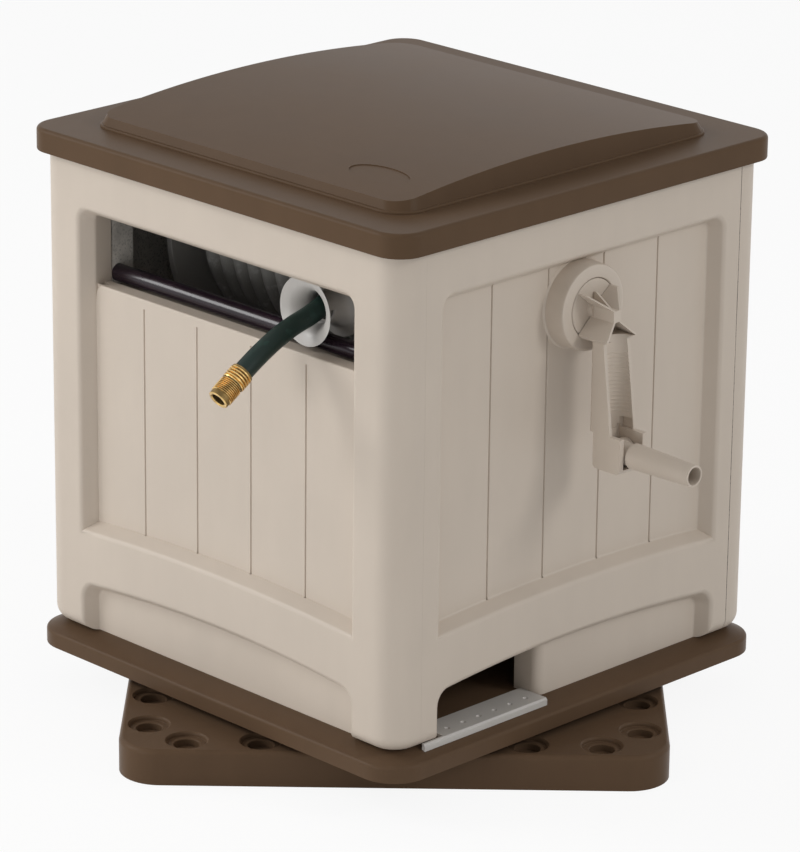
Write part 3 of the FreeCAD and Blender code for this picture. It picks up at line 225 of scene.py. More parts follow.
class StageSettings(bpy.types.PropertyGroup):
    """Camera, lamps and floor."""
    azimuth: FloatProperty(name="Azimuth", description="Camera's turn round the object",
                           default=math.radians(45.229), subtype="ANGLE")
    elevation: FloatProperty(name="Elevation", description="Camera's height angle",
                             default=math.radians(19.312), subtype="ANGLE")
    roll: FloatProperty(name="Roll", description="Camera's tilt", default=math.radians(0.65), subtype="ANGLE")
    distance: length("Distance", 5.161, "Distance from the camera to its target")
    target_side: length("Target offset", 0.001236, "Target's place to the right of the origin")
    target_height: length("Target height", 0.3153, "Target's height")
    lens: FloatProperty(name="Lens", description="Focal length in millimetres", default=191.32)
    key: FloatProperty(name="Key lamp", description="Power of the key lamp in watts", default=66.0)
    fill: FloatProperty(name="Fill lamp", description="Power of the fill lamp in watts", default=38.5)
    front: FloatProperty(name="Front lamp", description="Power of the low front lamp in watts", default=31.0)
    ambient: FloatProperty(name="Ambient", description="Strength of the even light", default=0.44)


class HoseReelSettings(bpy.types.PropertyGroup):
    """All settings of the hose reel."""
    cabinet: PointerProperty(type=CabinetSizes)
    crank: PointerProperty(type=CrankSizes)
    hose: PointerProperty(type=HoseSizes)
    colours: PointerProperty(type=ReelColours)
    stage: PointerProperty(type=StageSettings)


# Solids
def block(low, high):
    """Box between two corners."""
    bm = bmesh.new()
    size = Vector(high) - Vector(low)
    place = Matrix.Translation((Vector(low) + Vector(high)) / 2) @ Matrix.Diagonal(size).to_4x4()
    bmesh.ops.create_cube(bm, size=1, matrix=place)
    return bm


def level(edge, place, axis=2):
    """Whether an edge lies at one place on an axis, Z if none is named."""
    return all(abs(v.co[axis] - place) < TINY for v in edge.verts)


def along(edge, axis=2):
    """Whether an edge runs along an axis, Z if none is named."""
    run = edge.verts[1].co - edge.verts[0].co
    return all(abs(run[other]) < TINY for other in range(3) if other != axis)


def whole_of(bm):
    return bm.verts[:] + bm.edges[:] + bm.faces[:]


def quarter(steps):
    """Angles of a quarter turn."""
    return [math.pi / 2 * i / steps for i in range(steps + 1)]


def folded(edge, least=0.5):
    return len(edge.link_faces) == 2 and edge.calc_face_angle() > least


def round_off(bm, pick, radius, segments):
    """Rounds the edges that pick accepts."""
    edges = [edge for edge in bm.edges if pick(edge)]
    bmesh.ops.bevel(bm, geom=edges, offset=radius, offset_type="OFFSET", segments=segments, profile=0.5,
                    affect="EDGES", clamp_overlap=True, loop_slide=False, material=-1)
    return bm


def rounded_block(half, corner, low, high, segments=9):
    """Square block with rounded upright corners."""
    bm = block((-half, -half, low), (half, half, high))
    return round_off(bm, along, corner, segments)


def round_rim(bm, z, radius, segments):
    return round_off(bm, lambda edge: level(edge, z) and folded(edge), radius, segments)


def arched_outline(half, low, low_rise, high, high_rise, corner, steps=20):
    """(x, z) points of an upright outline whose lower and upper edges rise towards their middle."""
    inner = half - corner

    def upper(x):
        return high + high_rise * (1 - (x / half) ** 2)
    across = [2 * i / steps - 1 for i in range(steps + 1)]
    lower = [(half * a, low + low_rise * (1 - a * a)) for a in across]
    lift = upper(inner) - high + corner
    right = [(inner + corner * math.cos(angle), high - corner + lift * math.sin(angle))
             for angle in quarter(6)]
    top = [(-inner * a, upper(inner * a)) for a in across[1:-1]]
    return lower + right + top + [(-x, z) for x, z in reversed(right)]


def skin(stations):
    """Solid along Y through outlines of (x, z) points, each at its own y."""
    bm = bmesh.new()
    rings = [[bm.verts.new((x, y, z)) for x, z in outline] for y, outline in stations]
    for near, far in zip(rings, rings[1:]):
        for i in range(len(near)):
            bm.faces.new((near[i - 1], near[i], far[i], far[i - 1]))
    bm.faces.new(rings[0])
    bm.faces.new(rings[-1])
    bmesh.ops.recalc_face_normals(bm, faces=bm.faces)
    return bm


def lathe(profile, place=Matrix(), steps=48, soft=0.0, ring=False):
    """Turned solid from (along the axis, radius) points; a ring's profile is closed on itself."""
    bm = bmesh.new()
    points = [bm.verts.new((radius, 0, along)) for along, radius in profile]
    pairs = list(zip(points, points[1:])) + ([(points[-1], points[0])] if ring else [])
    for pair in pairs:
        bm.edges.new(pair)
    if soft:
        corners = points if ring else points[1:-1]
        bmesh.ops.bevel(bm, geom=corners, offset=soft, offset_type="OFFSET", segments=2, profile=0.5,
                        affect="VERTICES", clamp_overlap=True, material=-1)
    bmesh.ops.spin(bm, geom=bm.verts[:] + bm.edges[:], cent=(0, 0, 0), axis=Z, angle=FULL_TURN, steps=steps,
                   use_merge=True)
    bmesh.ops.remove_doubles(bm, verts=bm.verts, dist=TINY / 10)
    bmesh.ops.recalc_face_normals(bm, faces=bm.faces)
    bm.transform(place)
    return bm


def facing(origin, axis):
    """Place that turns the lathe's axis towards axis, at origin."""
    turn = Z.rotation_difference(Vector(axis)).to_matrix().to_4x4()
    return Matrix.Translation(origin) @ turn


def along_x(y, z):
    return facing((0, y, z), X)


def cylinder(start, end, radius, place=Matrix(), steps=48):
    return lathe([(start, 0), (start, radius), (end, radius), (end, 0)], place, steps)


def pipe(start, end, radius, bore, place=Matrix(), steps=48, soft=0.0):
    return lathe([(start, bore), (start, radius), (end, radius), (end, bore)], place, steps, soft, True)


def prism(outline, vector):
    """Outline of points, extruded along a vector."""
    bm = bmesh.new()
    bm.faces.new([bm.verts.new(point) for point in outline])
    swept = bmesh.ops.extrude_face_region(bm, geom=bm.faces[:])
    moved = [item for item in swept["geom"] if isinstance(item, bmesh.types.BMVert)]
    bmesh.ops.translate(bm, vec=vector, verts=moved)
    bmesh.ops.recalc_face_normals(bm, faces=bm.faces)
    return bm


def as_mesh(name, bm):
    """Mesh of a bmesh, which is used up."""
    mesh = bpy.data.meshes.new(name)
    bm.to_mesh(mesh)
    bm.free()
    return mesh


def add_object(name, data):
    obj = bpy.data.objects.new(name, data)
    bpy.context.scene.collection.objects.link(obj)
    return obj


def gather(parts):
    """Several loose solids in one bmesh; the parts are used up."""
    whole = bmesh.new()
    for part in parts:
        mesh = as_mesh("working", part)
        whole.from_mesh(mesh)
        bpy.data.meshes.remove(mesh)
    return whole


def turned(bm, degrees):
    bm.transform(Matrix.Rotation(math.radians(degrees), 4, "Z"))
    return bm


def combine(solid, tool, operation):
    """Boolean of two solids, which are used up."""
    working = [add_object("working", as_mesh("working", part)) for part in (solid, tool)]
    modifier = working[0].modifiers.new("combine", "BOOLEAN")
    modifier.operation = operation
    modifier.solver = "EXACT"
    modifier.object = working[1]
    result = bmesh.new()
    result.from_object(working[0], bpy.context.evaluated_depsgraph_get())
    for obj in working:
        mesh = obj.data
        bpy.data.objects.remove(obj)
        bpy.data.meshes.remove(mesh)
    if not result.faces:
        raise RuntimeError("a solid vanished when its parts were combined")
    bmesh.ops.remove_doubles(result, verts=result.verts, dist=TINY / 10)
    return result


def cut(solid, *tools):
    for tool in tools:
        solid = combine(solid, tool, "DIFFERENCE")
    return solid


def join(solid, *parts):
    for part in parts:
        solid = combine(solid, part, "UNION")
    return solid


def overlap(solid, other):
    return combine(solid, other, "INTERSECT")


def place_piece(name, bm, body, looks, nodes, soft=0.0):
    """Makes the object, shades it and hands it to the body that carries it."""
    mesh = as_mesh(name, bm)
    for finish in looks:
        mesh.materials.append(finish)
    mesh.shade_smooth()
    mesh.set_sharp_from_angle(angle=SHARP)
    obj = add_object(name, mesh)
    if soft:
        bevel = obj.modifiers.new("softened edges", "BEVEL")
        bevel.width = soft
        bevel.segments = 2
        bevel.limit_method = "ANGLE"
        bevel.angle_limit = SHARP
    obj.modifiers.new("even shading", "WEIGHTED_NORMAL").keep_sharp = True
    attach(obj, body)
    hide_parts(*nodes)
    return obj


# Materials
class Socket:
    """A value in a node tree; arithmetic on it adds Math nodes."""

    def __init__(self, finish, output):
        self.finish = finish
        self.output = output

    def _math(self, operation, other):
        return self.finish.add("ShaderNodeMath", {0: self, 1: other}, operation=operation)

    def __add__(self, other):
        return self._math("ADD", other)

    def __mul__(self, other):
        return self._math("MULTIPLY", other)

    def most(self, other):
        return self._math("MAXIMUM", other)

    __radd__ = __add__
    __rmul__ = __mul__


class Finish:
    """Node tree of one finish."""

    def __init__(self, tree):
        self.tree = tree

    def add(self, kind, inputs=None, output=0, **settings):
        """One node: its type, the values or links of its sockets, the output to use and its settings."""
        node = self.tree.nodes.new(kind)
        for key, value in settings.items():
            setattr(node, key, value)
        for key, value in (inputs or {}).items():
            self.feed(node.inputs[key], value)
        return Socket(self, node.outputs[output])

    def feed(self, socket, value):
        """Links what varies and sets what doesn't."""
        if isinstance(value, Socket):
            self.tree.links.new(value.output, socket)
        else:
            socket.default_value = value

    def coordinates(self, kind="Object"):
        return self.add("ShaderNodeTexCoord", output=kind)

    def stretched(self, place, scale):
        return self.add("ShaderNodeMapping", {"Vector": place, "Scale": scale})

    def noise(self, place, scale, detail=3.0, roughness=0.5):
        return self.add("ShaderNodeTexNoise",
                        {"Vector": place, "Scale": scale, "Detail": detail, "Roughness": roughness})

    def mix(self, factor, first, second):
        return self.add("ShaderNodeMix", {0: factor, 6: first, 7: second}, 2, data_type="RGBA")

    def bump(self, height, strength, distance):
        return self.add("ShaderNodeBump", {"Height": height, "Strength": strength, "Distance": distance})

    def span(self, value, low, high):
        """Value from 0 at low to 1 at high, held at both ends."""
        return self.add("ShaderNodeMapRange", {0: value, 1: low, 2: high})


def shade(rgba, factor):
    return tuple(min(1.0, part * factor) for part in rgba[:3]) + (1.0,)


def new_finish(name):
    material = bpy.data.materials.new(name)
    material.use_nodes = True
    return material, Finish(material.node_tree), material.node_tree.nodes["Principled BSDF"]


def feed(finish, shader, **sockets):
    """Feeds the shader's sockets, each named in lower case."""
    for key, value in sockets.items():
        finish.feed(shader.inputs[key.replace("_", " ").title().replace("Ior", "IOR")], value)


def moulded_plastic(name, rgba, roughness, grain=1400.0, mottle=0.05, bump=0.10, sheen=0.5):
    """Moulded plastic: fine spark-eroded grain, faint clouds in the colour, and rubbed patches."""
    material, finish, shader = new_finish(name)
    place = finish.coordinates()
    cloud = finish.noise(place, 7.0, 4.0)
    fine = finish.noise(place, grain, 2.0)
    flow = finish.noise(finish.stretched(place, (1.0, 1.0, 0.25)), 38.0, 3.0)
    tone = finish.span(0.65 * cloud + 0.35 * flow, 0.3, 0.7)
    base = finish.mix(tone, shade(rgba, 1 - mottle), shade(rgba, 1 + mottle))
    rough = roughness - 0.05 + 0.07 * fine + 0.06 * cloud
    feed(finish, shader, base_color=base, roughness=rough, normal=finish.bump(fine, bump, 0.0004),
         specular_ior_level=sheen)
    return material


def dusty_inside_painted_light(name, rgba):
    """Inner faces of the box: rough, dusty and speckled, in the inside's pale colour, which is painted light
    standing in for the light the closed box keeps out.
    """
    material, finish, shader = new_finish(name)
    place = finish.coordinates()
    dust = finish.noise(place, 16.0, 6.0, 0.62)
    specks = finish.span(finish.noise(place, 420.0, 2.0), 0.52, 0.66)
    tone = finish.mix(finish.span(dust, 0.3, 0.72), shade(rgba, 0.62), shade(rgba, 1.3))
    base = finish.mix(0.55 * specks, tone, shade(rgba, 0.35))
    feed(finish, shader, base_color=base, roughness=0.78 + 0.14 * dust, normal=finish.bump(dust, 0.3, 0.002))
    return material


def coated_rod(name, rgba):
    """Dark gloss coating with a faint orange-peel."""
    material, finish, shader = new_finish(name)
    place = finish.coordinates()
    peel = finish.noise(place, 260.0, 2.0)
    scuff = finish.noise(finish.stretched(place, (0.2, 1.0, 1.0)), 150.0, 4.0)
    base = finish.mix(finish.span(scuff, 0.35, 0.75), rgba, shade(rgba, 1.9))
    feed(finish, shader, base_color=base, roughness=0.16 + 0.12 * scuff,
         normal=finish.bump(peel, 0.05, 0.0005), specular_ior_level=0.38)
    return material


def hose_rubber(name, rgba):
    """Dark green hose: fine lengthwise drawing marks, scuffs and a waxy sheen."""
    material, finish, shader = new_finish(name)
    along = finish.coordinates("UV")
    place = finish.coordinates()
    drawn = finish.noise(finish.stretched(along, (6.0, 90.0, 1.0)), 4.0, 3.0)
    scuff = finish.noise(place, 75.0, 5.0, 0.6)
    worn = finish.span(scuff, 0.56, 0.76)
    base = finish.mix(drawn, shade(rgba, 0.6), shade(rgba, 1.5))
    base = finish.mix(0.5 * worn, base, shade(rgba, 3.6))
    rough = 0.36 + 0.14 * drawn + 0.18 * worn
    feed(finish, shader, base_color=base, roughness=rough, normal=finish.bump(drawn, 0.12, 0.0006),
         specular_ior_level=0.3)
    return material


def machined_metal(name, rgba, roughness, tarnish):
    """Turned metal: fine tool marks and a little tarnish in the low places."""
    material, finish, shader = new_finish(name)
    place = finish.coordinates()
    stain = finish.noise(place, 120.0, 4.0)
    marks = finish.noise(place, 900.0, 2.0)
    base = finish.mix(finish.span(stain, 0.38, 0.72), rgba, shade(rgba, 1 - tarnish))
    feed(finish, shader, base_color=base, roughness=roughness + 0.14 * stain + 0.06 * marks,
         normal=finish.bump(marks, 0.06, 0.0003), metallic=1.0)
    return material


def finishes(colours):
    """Every finish by its name, made once."""
    recipes = {
        "beige_panel": (moulded_plastic, colours.panel, dict(roughness=0.50, mottle=0.035)),
        # Inner faces: dust and specks, in a pale colour that is painted light for the shaded inside of the
        # box
        "box_inside": (dusty_inside_painted_light, colours.inside, {}),
        "brown_lid": (moulded_plastic, colours.lid,
                      dict(roughness=0.36, mottle=0.07, bump=0.12, sheen=0.05)),
        "brown_base": (moulded_plastic, colours.base,
                       dict(roughness=0.34, mottle=0.08, bump=0.12, sheen=0.06)),
        "pale_guide": (moulded_plastic, colours.guide, dict(roughness=0.34, grain=600.0, mottle=0.06)),
        "dark_rod": (coated_rod, colours.rod, {}),
        "green_hose": (hose_rubber, colours.hose, {}),
        # Wound hose: pale colour that is painted light for the shaded inside of the box
        "stored_hose": (hose_rubber, colours.stored, {}),
        "turned_brass": (machined_metal, colours.brass, dict(roughness=0.16, tarnish=0.45)),
        # Darker brass for the coupling's grooves, thread roots and bore: tarnish, and painted shade
        "tarnished_brass": (machined_metal, shade(colours.brass, 0.30), dict(roughness=0.40, tarnish=0.6)),
        "zinc_steel": (machined_metal, colours.steel, dict(roughness=0.30, tarnish=0.25)),
        # Reel: light grey that is painted light for the shaded inside of the box
        "grey_reel": (moulded_plastic, colours.reel, dict(roughness=0.46, mottle=0.15)),
        "slip_plastic": (moulded_plastic, colours.bearing, dict(roughness=0.28, mottle=0.03)),
        "seal_rubber": (moulded_plastic, colours.seal, dict(roughness=0.62, grain=500.0, mottle=0.2)),
    }
    return {name: bpy.data.materials.get(name) or make(name, rgba, **settings)
            for name, (make, rgba, settings) in recipes.items()}


# Panels, each made as a front and then turned to its side
def recess_outline(s, grow):
    low, high = FLOOR + s.recess_low - grow, FLOOR + s.recess_high + grow
    return arched_outline(s.recess_half + grow, low, s.arch, high, 0, s.recess_round + grow)


def toe_outline(s, grow):
    high = FLOOR + s.recess_low - s.rail + grow
    return arched_outline(s.toe_half + grow, FLOOR - s.seam, 0, high, s.toe_arch, s.toe_round + grow)


def pocket(s, outline, grow, far):
    """Recess that narrows from the panel's face to its boards and runs on straight to far."""
    outside, boards = -BOX_HALF - PAST, s.recess_depth - BOX_HALF + grow
    stations = [(outside, outline(s, grow + s.recess_draft)), (boards, outline(s, grow))]
    if far > boards + TINY:
        stations.append((far, outline(s, grow)))
    return skin(stations)


def box_envelope(s, inset, low):
    bm = rounded_block(BOX_HALF - inset, s.corner - inset, low, PANEL_TOP + inset * 3)
    return round_rim(bm, low, s.foot - inset, 7)


def panel_hollow(s):
    """Room behind a panel's wall."""
    face = s.recess_depth - BOX_HALF + s.wall
    room = box_envelope(s, s.wall, FLOOR + s.wall)
    return cut(room, pocket(s, recess_outline, s.wall, face), pocket(s, toe_outline, s.wall, face))


def board_grooves(s, top):
    face, half = s.recess_depth - BOX_HALF, s.groove / 2
    low = FLOOR + s.recess_low - s.wall
    tools = []
    for i in range(1, s.boards):
        x = 2 * (s.recess_half + s.board_tuck) * (i / s.boards - 0.5)
        ridge = [(x - half, face - half, low), (x + half, face - half, low), (x + half, face, low),
                 (x, face + 1.15 * s.groove, low), (x - half, face, low)]
        tools.append(prism(ridge, (0, 0, top - low)))
    return gather(tools)


def frame_blank(s, half_width, recess_far):
    """Solid panel with its two recesses and their rounded rims, inside the box's outline."""
    face = s.recess_depth - BOX_HALF
    bm = block((-half_width, -BOX_HALF, FLOOR - s.corner), (half_width, -s.seam, PANEL_TOP))
    bm = cut(bm, pocket(s, recess_outline, 0, recess_far), pocket(s, toe_outline, 0, face))
    rim_half = s.recess_half + s.recess_draft + TINY

    def rim(edge):
        inner = all(abs(v.co.x) < rim_half for v in edge.verts)
        return inner and level(edge, -BOX_HALF, 1) and folded(edge)

    def valley(edge):
        return level(edge, face, 1) and folded(edge)
    round_off(bm, rim, s.rim_round, 5)
    round_off(bm, valley, s.rim_round / 2, 3)
    return overlap(bm, box_envelope(s, 0, FLOOR))


def colour_inside(bm):
    """Faces that look into the box take the second finish, whose pale colour is painted light for the shaded
    inside of the box.
    """
    bm.normal_update()
    for face in bm.faces:
        if face.normal.y > 0.3:
            face.material_index = 1
    return bm


def plain_panel(s, half_width):
    face = s.recess_depth - BOX_HALF
    bm = cut(frame_blank(s, half_width, face), panel_hollow(s))
    bm = cut(bm, board_grooves(s, FLOOR + s.recess_high + s.wall))
    return colour_inside(bm)


def rod_axis():
    """A point in the middle of the guide's rod, and its radius."""
    low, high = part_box("guide_rod")
    return (low + high) / 2, (high.y - low.y) / 2


def board_slab(s):
    """Front boards with their rolled upper edge and the sill behind it."""
    face, top = s.recess_depth - BOX_HALF, FLOOR + s.sill_top
    half = s.recess_half + s.wall / 8
    low = FLOOR + s.recess_low - s.wall / 2
    slab = block((-half, face, low), (half, face + s.wall, top))
    shelf = block((-half, face + s.wall / 2, top - s.sill_thick), (half, s.sill_depth - BOX_HALF, top))
    slab = join(slab, shelf)

    def top_end(edge):
        return along(edge, 1) and level(edge, top) and half - abs(edge.verts[0].co.x) < TINY
    round_off(slab, top_end, s.sill_round, 5)

    def rolled(edge):
        high = all(v.co.z > top - s.sill_round - TINY for v in edge.verts)
        return high and level(edge, face, 1) and folded(edge)
    return round_off(slab, rolled, s.sill_round - s.wall / 4, 6)


def sill_gutter(s):
    """Gutter that carries the sill on under the rod."""
    rod, radius = rod_axis()
    half, top = s.recess_half + s.wall / 4, FLOOR + s.sill_top - 10 * TINY
    near, far = s.sill_depth - BOX_HALF - s.wall / 2, rod.y + radius
    outline = [(near, top), (near, top - s.sill_thick / 2), (far, top - s.sill_thick + s.wall / 2)]
    rear = FULL_TURN - math.acos(radius / s.gutter)
    front = math.pi + math.asin((rod.z - top) / s.gutter)
    steps = 16
    for i in range(steps + 1):
        angle = rear + (front - rear) * i / steps
        outline.append((rod.y + s.gutter * math.cos(angle), rod.z + s.gutter * math.sin(angle)))
    return prism([(-half, y, z) for y, z in outline], (2 * half, 0, 0))


def rod_cheeks(s, deep):
    """Cheeks behind the window's side walls, bored for the ends of the guide's rod."""
    margin, fit, top = 0.012, 0.0002, FLOOR + s.recess_high + s.wall
    low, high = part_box("guide_rod")
    rod, radius = rod_axis()
    cheeks = []
    for side in (-1, 1):
        near, far = sorted((side * s.recess_half, side * (high.x + PAST)))
        cheek = block((near, deep - PAST, low.z - margin), (far, high.y + margin, top))
        # The cheeks take the inside's finish, with its painted light
        for face in cheek.faces:
            face.material_index = 1
        cheeks.append(cut(cheek, cylinder(-high.x, high.x, radius + fit, along_x(rod.y, rod.z), 40)))
    return cheeks


def window_front(s):
    """Front panel: the window is open over the boards, with deep sides and sockets for the rod."""
    deep = s.window_depth - BOX_HALF
    sill = FLOOR + s.sill_top - s.sill_thick
    bm = cut(frame_blank(s, BOX_HALF, 0), panel_hollow(s))
    sleeve = overlap(pocket(s, recess_outline, s.wall, deep),
                     block((-BOX_HALF, 2 * s.rim_round - BOX_HALF, sill), (BOX_HALF, deep, PANEL_TOP)))
    bm = join(bm, cut(sleeve, pocket(s, recess_outline, 0, 0)))
    bm = join(bm, board_slab(s), sill_gutter(s), *rod_cheeks(s, deep))
    bm = cut(bm, board_grooves(s, FLOOR + s.sill_top - s.sill_round))
    return colour_inside(bm)


def supply_side(s):
    """Right panel: the supply hose's opening has a short duct and a rounded far edge."""
    face, deep = s.recess_depth - BOX_HALF, s.leader_depth - BOX_HALF
    bend = s.leader_to + s.leader_round
    bm = plain_panel(s, s.seam - s.seam_gap)
    bm = cut(bm, block((s.seam - s.back_gap, -2 * BOX_HALF, 0), (BOX_HALF, 0, 2 * PANEL_TOP)))
    duct = overlap(pocket(s, toe_outline, s.wall, deep),
                   block((-BOX_HALF, face + s.wall / 2, FLOOR), (bend, deep, PANEL_TOP)))
    bm = join(bm, duct)
    rolled = [(bend - s.leader_round * math.sin(angle), face + s.leader_round * (1 - math.cos(angle)), 0)
              for angle in quarter(8)]
    plan = [(s.leader_from, -BOX_HALF, 0), (bend, -BOX_HALF, 0), *rolled,
            (s.leader_to, 0, 0), (s.leader_from, 0, 0)]
    way = overlap(pocket(s, toe_outline, 0, 0), prism(plan, (0, 0, PANEL_TOP)))
    return colour_inside(cut(bm, way))


def hinge_axis(s):
    """Place of the lid's hinge axis, as y and z."""
    return BOX_HALF + s.hinge_radius + FIT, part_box("lid_hinge_pins")[0].z + HINGE_PIN


# The hose's way out, point by point: round the winding, through the guide and down
HOSE_X = 0.12
HOSE_ROUTE = tuple((HOSE_X, y, z) for y, z in (
    (0.0449, 0.3798), (0.1331, 0.4499), (0.1485, 0.5666), (0.0769, 0.6599), (-0.0398, 0.6753),
    (-0.1349, 0.6011), (-0.2300, 0.5370), (-0.3060, 0.5210), (-0.3580, 0.4870)))


def tube_curve(name, points, radius, finish, resolution=8, rim=6):
    """Smooth tube along its control points."""
    curve = bpy.data.curves.new(name, "CURVE")
    curve.dimensions = "3D"
    spline = curve.splines.new("NURBS")
    spline.points.add(len(points) - 1)
    for spot, point in zip(spline.points, points):
        spot.co = (*point, 1.0)
    spline.order_u = 3
    spline.use_endpoint_u = True
    spline.resolution_u = resolution
    curve.bevel_depth = radius
    curve.bevel_resolution = rim
    curve.use_fill_caps = True
    curve.materials.append(finish)
    return add_object(name, curve)


# Operators
class ReelOperator:
    """What all the operators of this add-on share."""
    bl_options = {"REGISTER", "UNDO"}

    def execute(self, context):
        settings = context.scene.hose_reel
        self.make(context, settings, finishes(settings.colours))
        return {"FINISHED"}


# Each lamp: its name, place and size, and the setting that holds its power
LAMPS = (
    ("key lamp", (-2.7, -2.55, 2.4), 1.9, "key"),
    ("fill lamp", (3.6, 1.4, 2.6), 1.3, "fill"),
    ("front lamp", (-0.3, -4.4, 0.90), 1.4, "front"),
)
LAMP_TARGET = Vector((0, 0, 0.35))
SENSOR_WIDTH = 36.0
FLOOR_RADIUS = 14.0
FLOOR_GLOW = 0.90
WHITE = (1, 1, 1, 1)


class HOSEREEL_OT_stage(ReelOperator, bpy.types.Operator):
    """Set up the camera, the lamps and the pale floor"""
    bl_idname = "hose_reel.stage"
    bl_label = "Stage"

    def make(self, context, settings, finish):
        s = settings.stage
        self.camera(context, s)
        for name, place, size, power in LAMPS:
            self.lamp(name, Vector(place), size, getattr(s, power))
        self.surroundings(context, s)
        self.floor(settings.colours.floor)
        context.scene.view_settings.view_transform = "Standard"

    def camera(self, context, s):
        flat = math.cos(s.elevation)
        back = Vector((math.sin(s.azimuth) * flat, -math.cos(s.azimuth) * flat, math.sin(s.elevation)))
        right = Vector((math.cos(s.azimuth), math.sin(s.azimuth), 0))
        up = back.cross(right)
        across = right * math.cos(s.roll) + up * math.sin(s.roll)
        over = up * math.cos(s.roll) - right * math.sin(s.roll)
        data = bpy.data.cameras.new("camera")
        data.lens = s.lens
        data.sensor_width = SENSOR_WIDTH
        camera = add_object("camera", data)
        turn = Matrix((across, over, back)).transposed().to_4x4()
        place = right * s.target_side + Z * s.target_height + back * s.distance
        camera.matrix_world = Matrix.Translation(place) @ turn
        context.scene.camera = camera

    def lamp(self, name, place, size, power):
        data = bpy.data.lights.new(name, "AREA")
        data.shape = "DISK"
        data.size = size
        data.energy = power
        turn = (LAMP_TARGET - place).to_track_quat("-Z", "Y").to_matrix().to_4x4()
        add_object(name, data).matrix_world = Matrix.Translation(place) @ turn

    def surroundings(self, context, s):
        world = bpy.data.worlds.new("studio")
        world.use_nodes = True
        context.scene.world = world
        tree = Finish(world.node_tree)
        white = tree.add("ShaderNodeBackground", {"Color": WHITE, "Strength": 1.0})
        soft = tree.add("ShaderNodeBackground", {"Color": WHITE, "Strength": s.ambient})
        mixed = tree.add("ShaderNodeMixShader", {0: self.seen_directly(tree), 1: soft, 2: white})
        world.node_tree.links.new(mixed.output, world.node_tree.nodes["World Output"].inputs["Surface"])

    def seen_directly(self, tree):
        """1 for rays that show the surroundings themselves, 0 for those that gather light."""
        rays = [tree.add("ShaderNodeLightPath", output=name)
                for name in ("Is Camera Ray", "Is Glossy Ray", "Is Transmission Ray")]
        return rays[0].most(rays[1]).most(rays[2])

    def floor(self, rgba):
        bm = bmesh.new()
        bmesh.ops.create_circle(bm, cap_ends=True, segments=96, radius=FLOOR_RADIUS)
        material, tree, shader = new_finish("pale_floor")
        feed(tree, shader, base_color=rgba, roughness=0.9)
        glow = tree.add("ShaderNodeEmission", {"Color": WHITE, "Strength": 1.0})
        lit = Socket(tree, shader.outputs[0])
        mixed = tree.add("ShaderNodeMixShader", {0: FLOOR_GLOW * self.seen_directly(tree), 1: lit, 2: glow})
        tree.tree.links.new(mixed.output, tree.tree.nodes["Material Output"].inputs["Surface"])
        mesh = as_mesh("floor", bm)
        mesh.materials.append(material)
        floor = add_object("floor", mesh)


class HOSEREEL_OT_hose(ReelOperator, bpy.types.Operator):
    """Lead the free end of the hose out through the guide, with its brass coupling"""
    bl_idname = "hose_reel.hose"
    bl_label = "Hose and coupling"

    def make(self, context, settings, finish):
        s = settings.hose
        coupling = place_piece("brass_coupling", self.coupling(s), "guide",
                               [finish["turned_brass"], finish["tarnished_brass"]], ["hose_coupling"])
        lead = tube_curve("garden_hose_lead", HOSE_ROUTE, s.radius, finish["green_hose"])
        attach(lead, "guide")
        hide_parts("hose_lead")

    def coupling(self, s):
        """Ringed ferrule and bored spigot with the thread on it; grooves, thread roots and bore take a darker
        brass that is tarnish and painted shade.
        """
        near, seat, ferrule, mouth = -0.006, 0.0004, 0.011, 0.036
        rings, groove, dark = 4, 0.0013, 0.0009
        clear, root = s.radius + FIT, s.thread - 0.0012
        profile = [(near, clear), (near, s.ferrule - 0.0006)]
        pitch = (ferrule - near - 0.003) / rings
        for i in range(rings):
            start = near + 0.001 + i * pitch
            profile += [(start, s.ferrule - groove), (start + pitch * 0.30, s.ferrule - groove),
                        (start + pitch * 0.45, s.ferrule), (start + pitch * 0.85, s.ferrule),
                        (start + pitch, s.ferrule - groove)]
        profile += [(ferrule - 0.001, s.ferrule - 0.0002), (ferrule, s.ferrule - 0.0008), (ferrule, root),
                    (mouth - 0.0006, root), (mouth, root - 0.0008), (mouth, s.bore + 0.0012),
                    (mouth - 0.001, s.bore), (seat, s.bore), (seat, clear)]
        body = lathe(profile, steps=64, ring=True)
        # Faces below the surface and in the bore take the darker brass: tarnish, and painted shade
        for face in body.faces:
            centre = face.calc_center_median()
            surface = s.ferrule if centre.z < ferrule else s.thread
            face.material_index = int(centre.xy.length < surface - dark and centre.z < mouth - dark)
        whole = gather([body, self.thread(s, root, ferrule + 0.0012, mouth - 0.0045)])
        end, before = Vector(HOSE_ROUTE[-1]), Vector(HOSE_ROUTE[-2])
        whole.transform(facing(end, end - before))
        return whole

    def thread(self, s, root, start, end):
        """Ridge of the male thread, wound as a screw with flat closed ends."""
        pitch, steps, sunk = 0.0022, 40, 0.0004
        turns = int((end - start) / pitch)
        bm = bmesh.new()
        section = [(root - sunk, start), (root - sunk, start + 0.7 * pitch), (s.thread, start + 0.45 * pitch),
                   (s.thread, start + 0.25 * pitch)]
        bm.faces.new([bm.verts.new((radius, 0, along)) for radius, along in section])
        bmesh.ops.spin(bm, geom=whole_of(bm), cent=(0, 0, 0), axis=Z, dvec=(0, 0, pitch / steps),
                       angle=FULL_TURN * turns, steps=steps * turns)
        bmesh.ops.recalc_face_normals(bm, faces=bm.faces)
        return bm


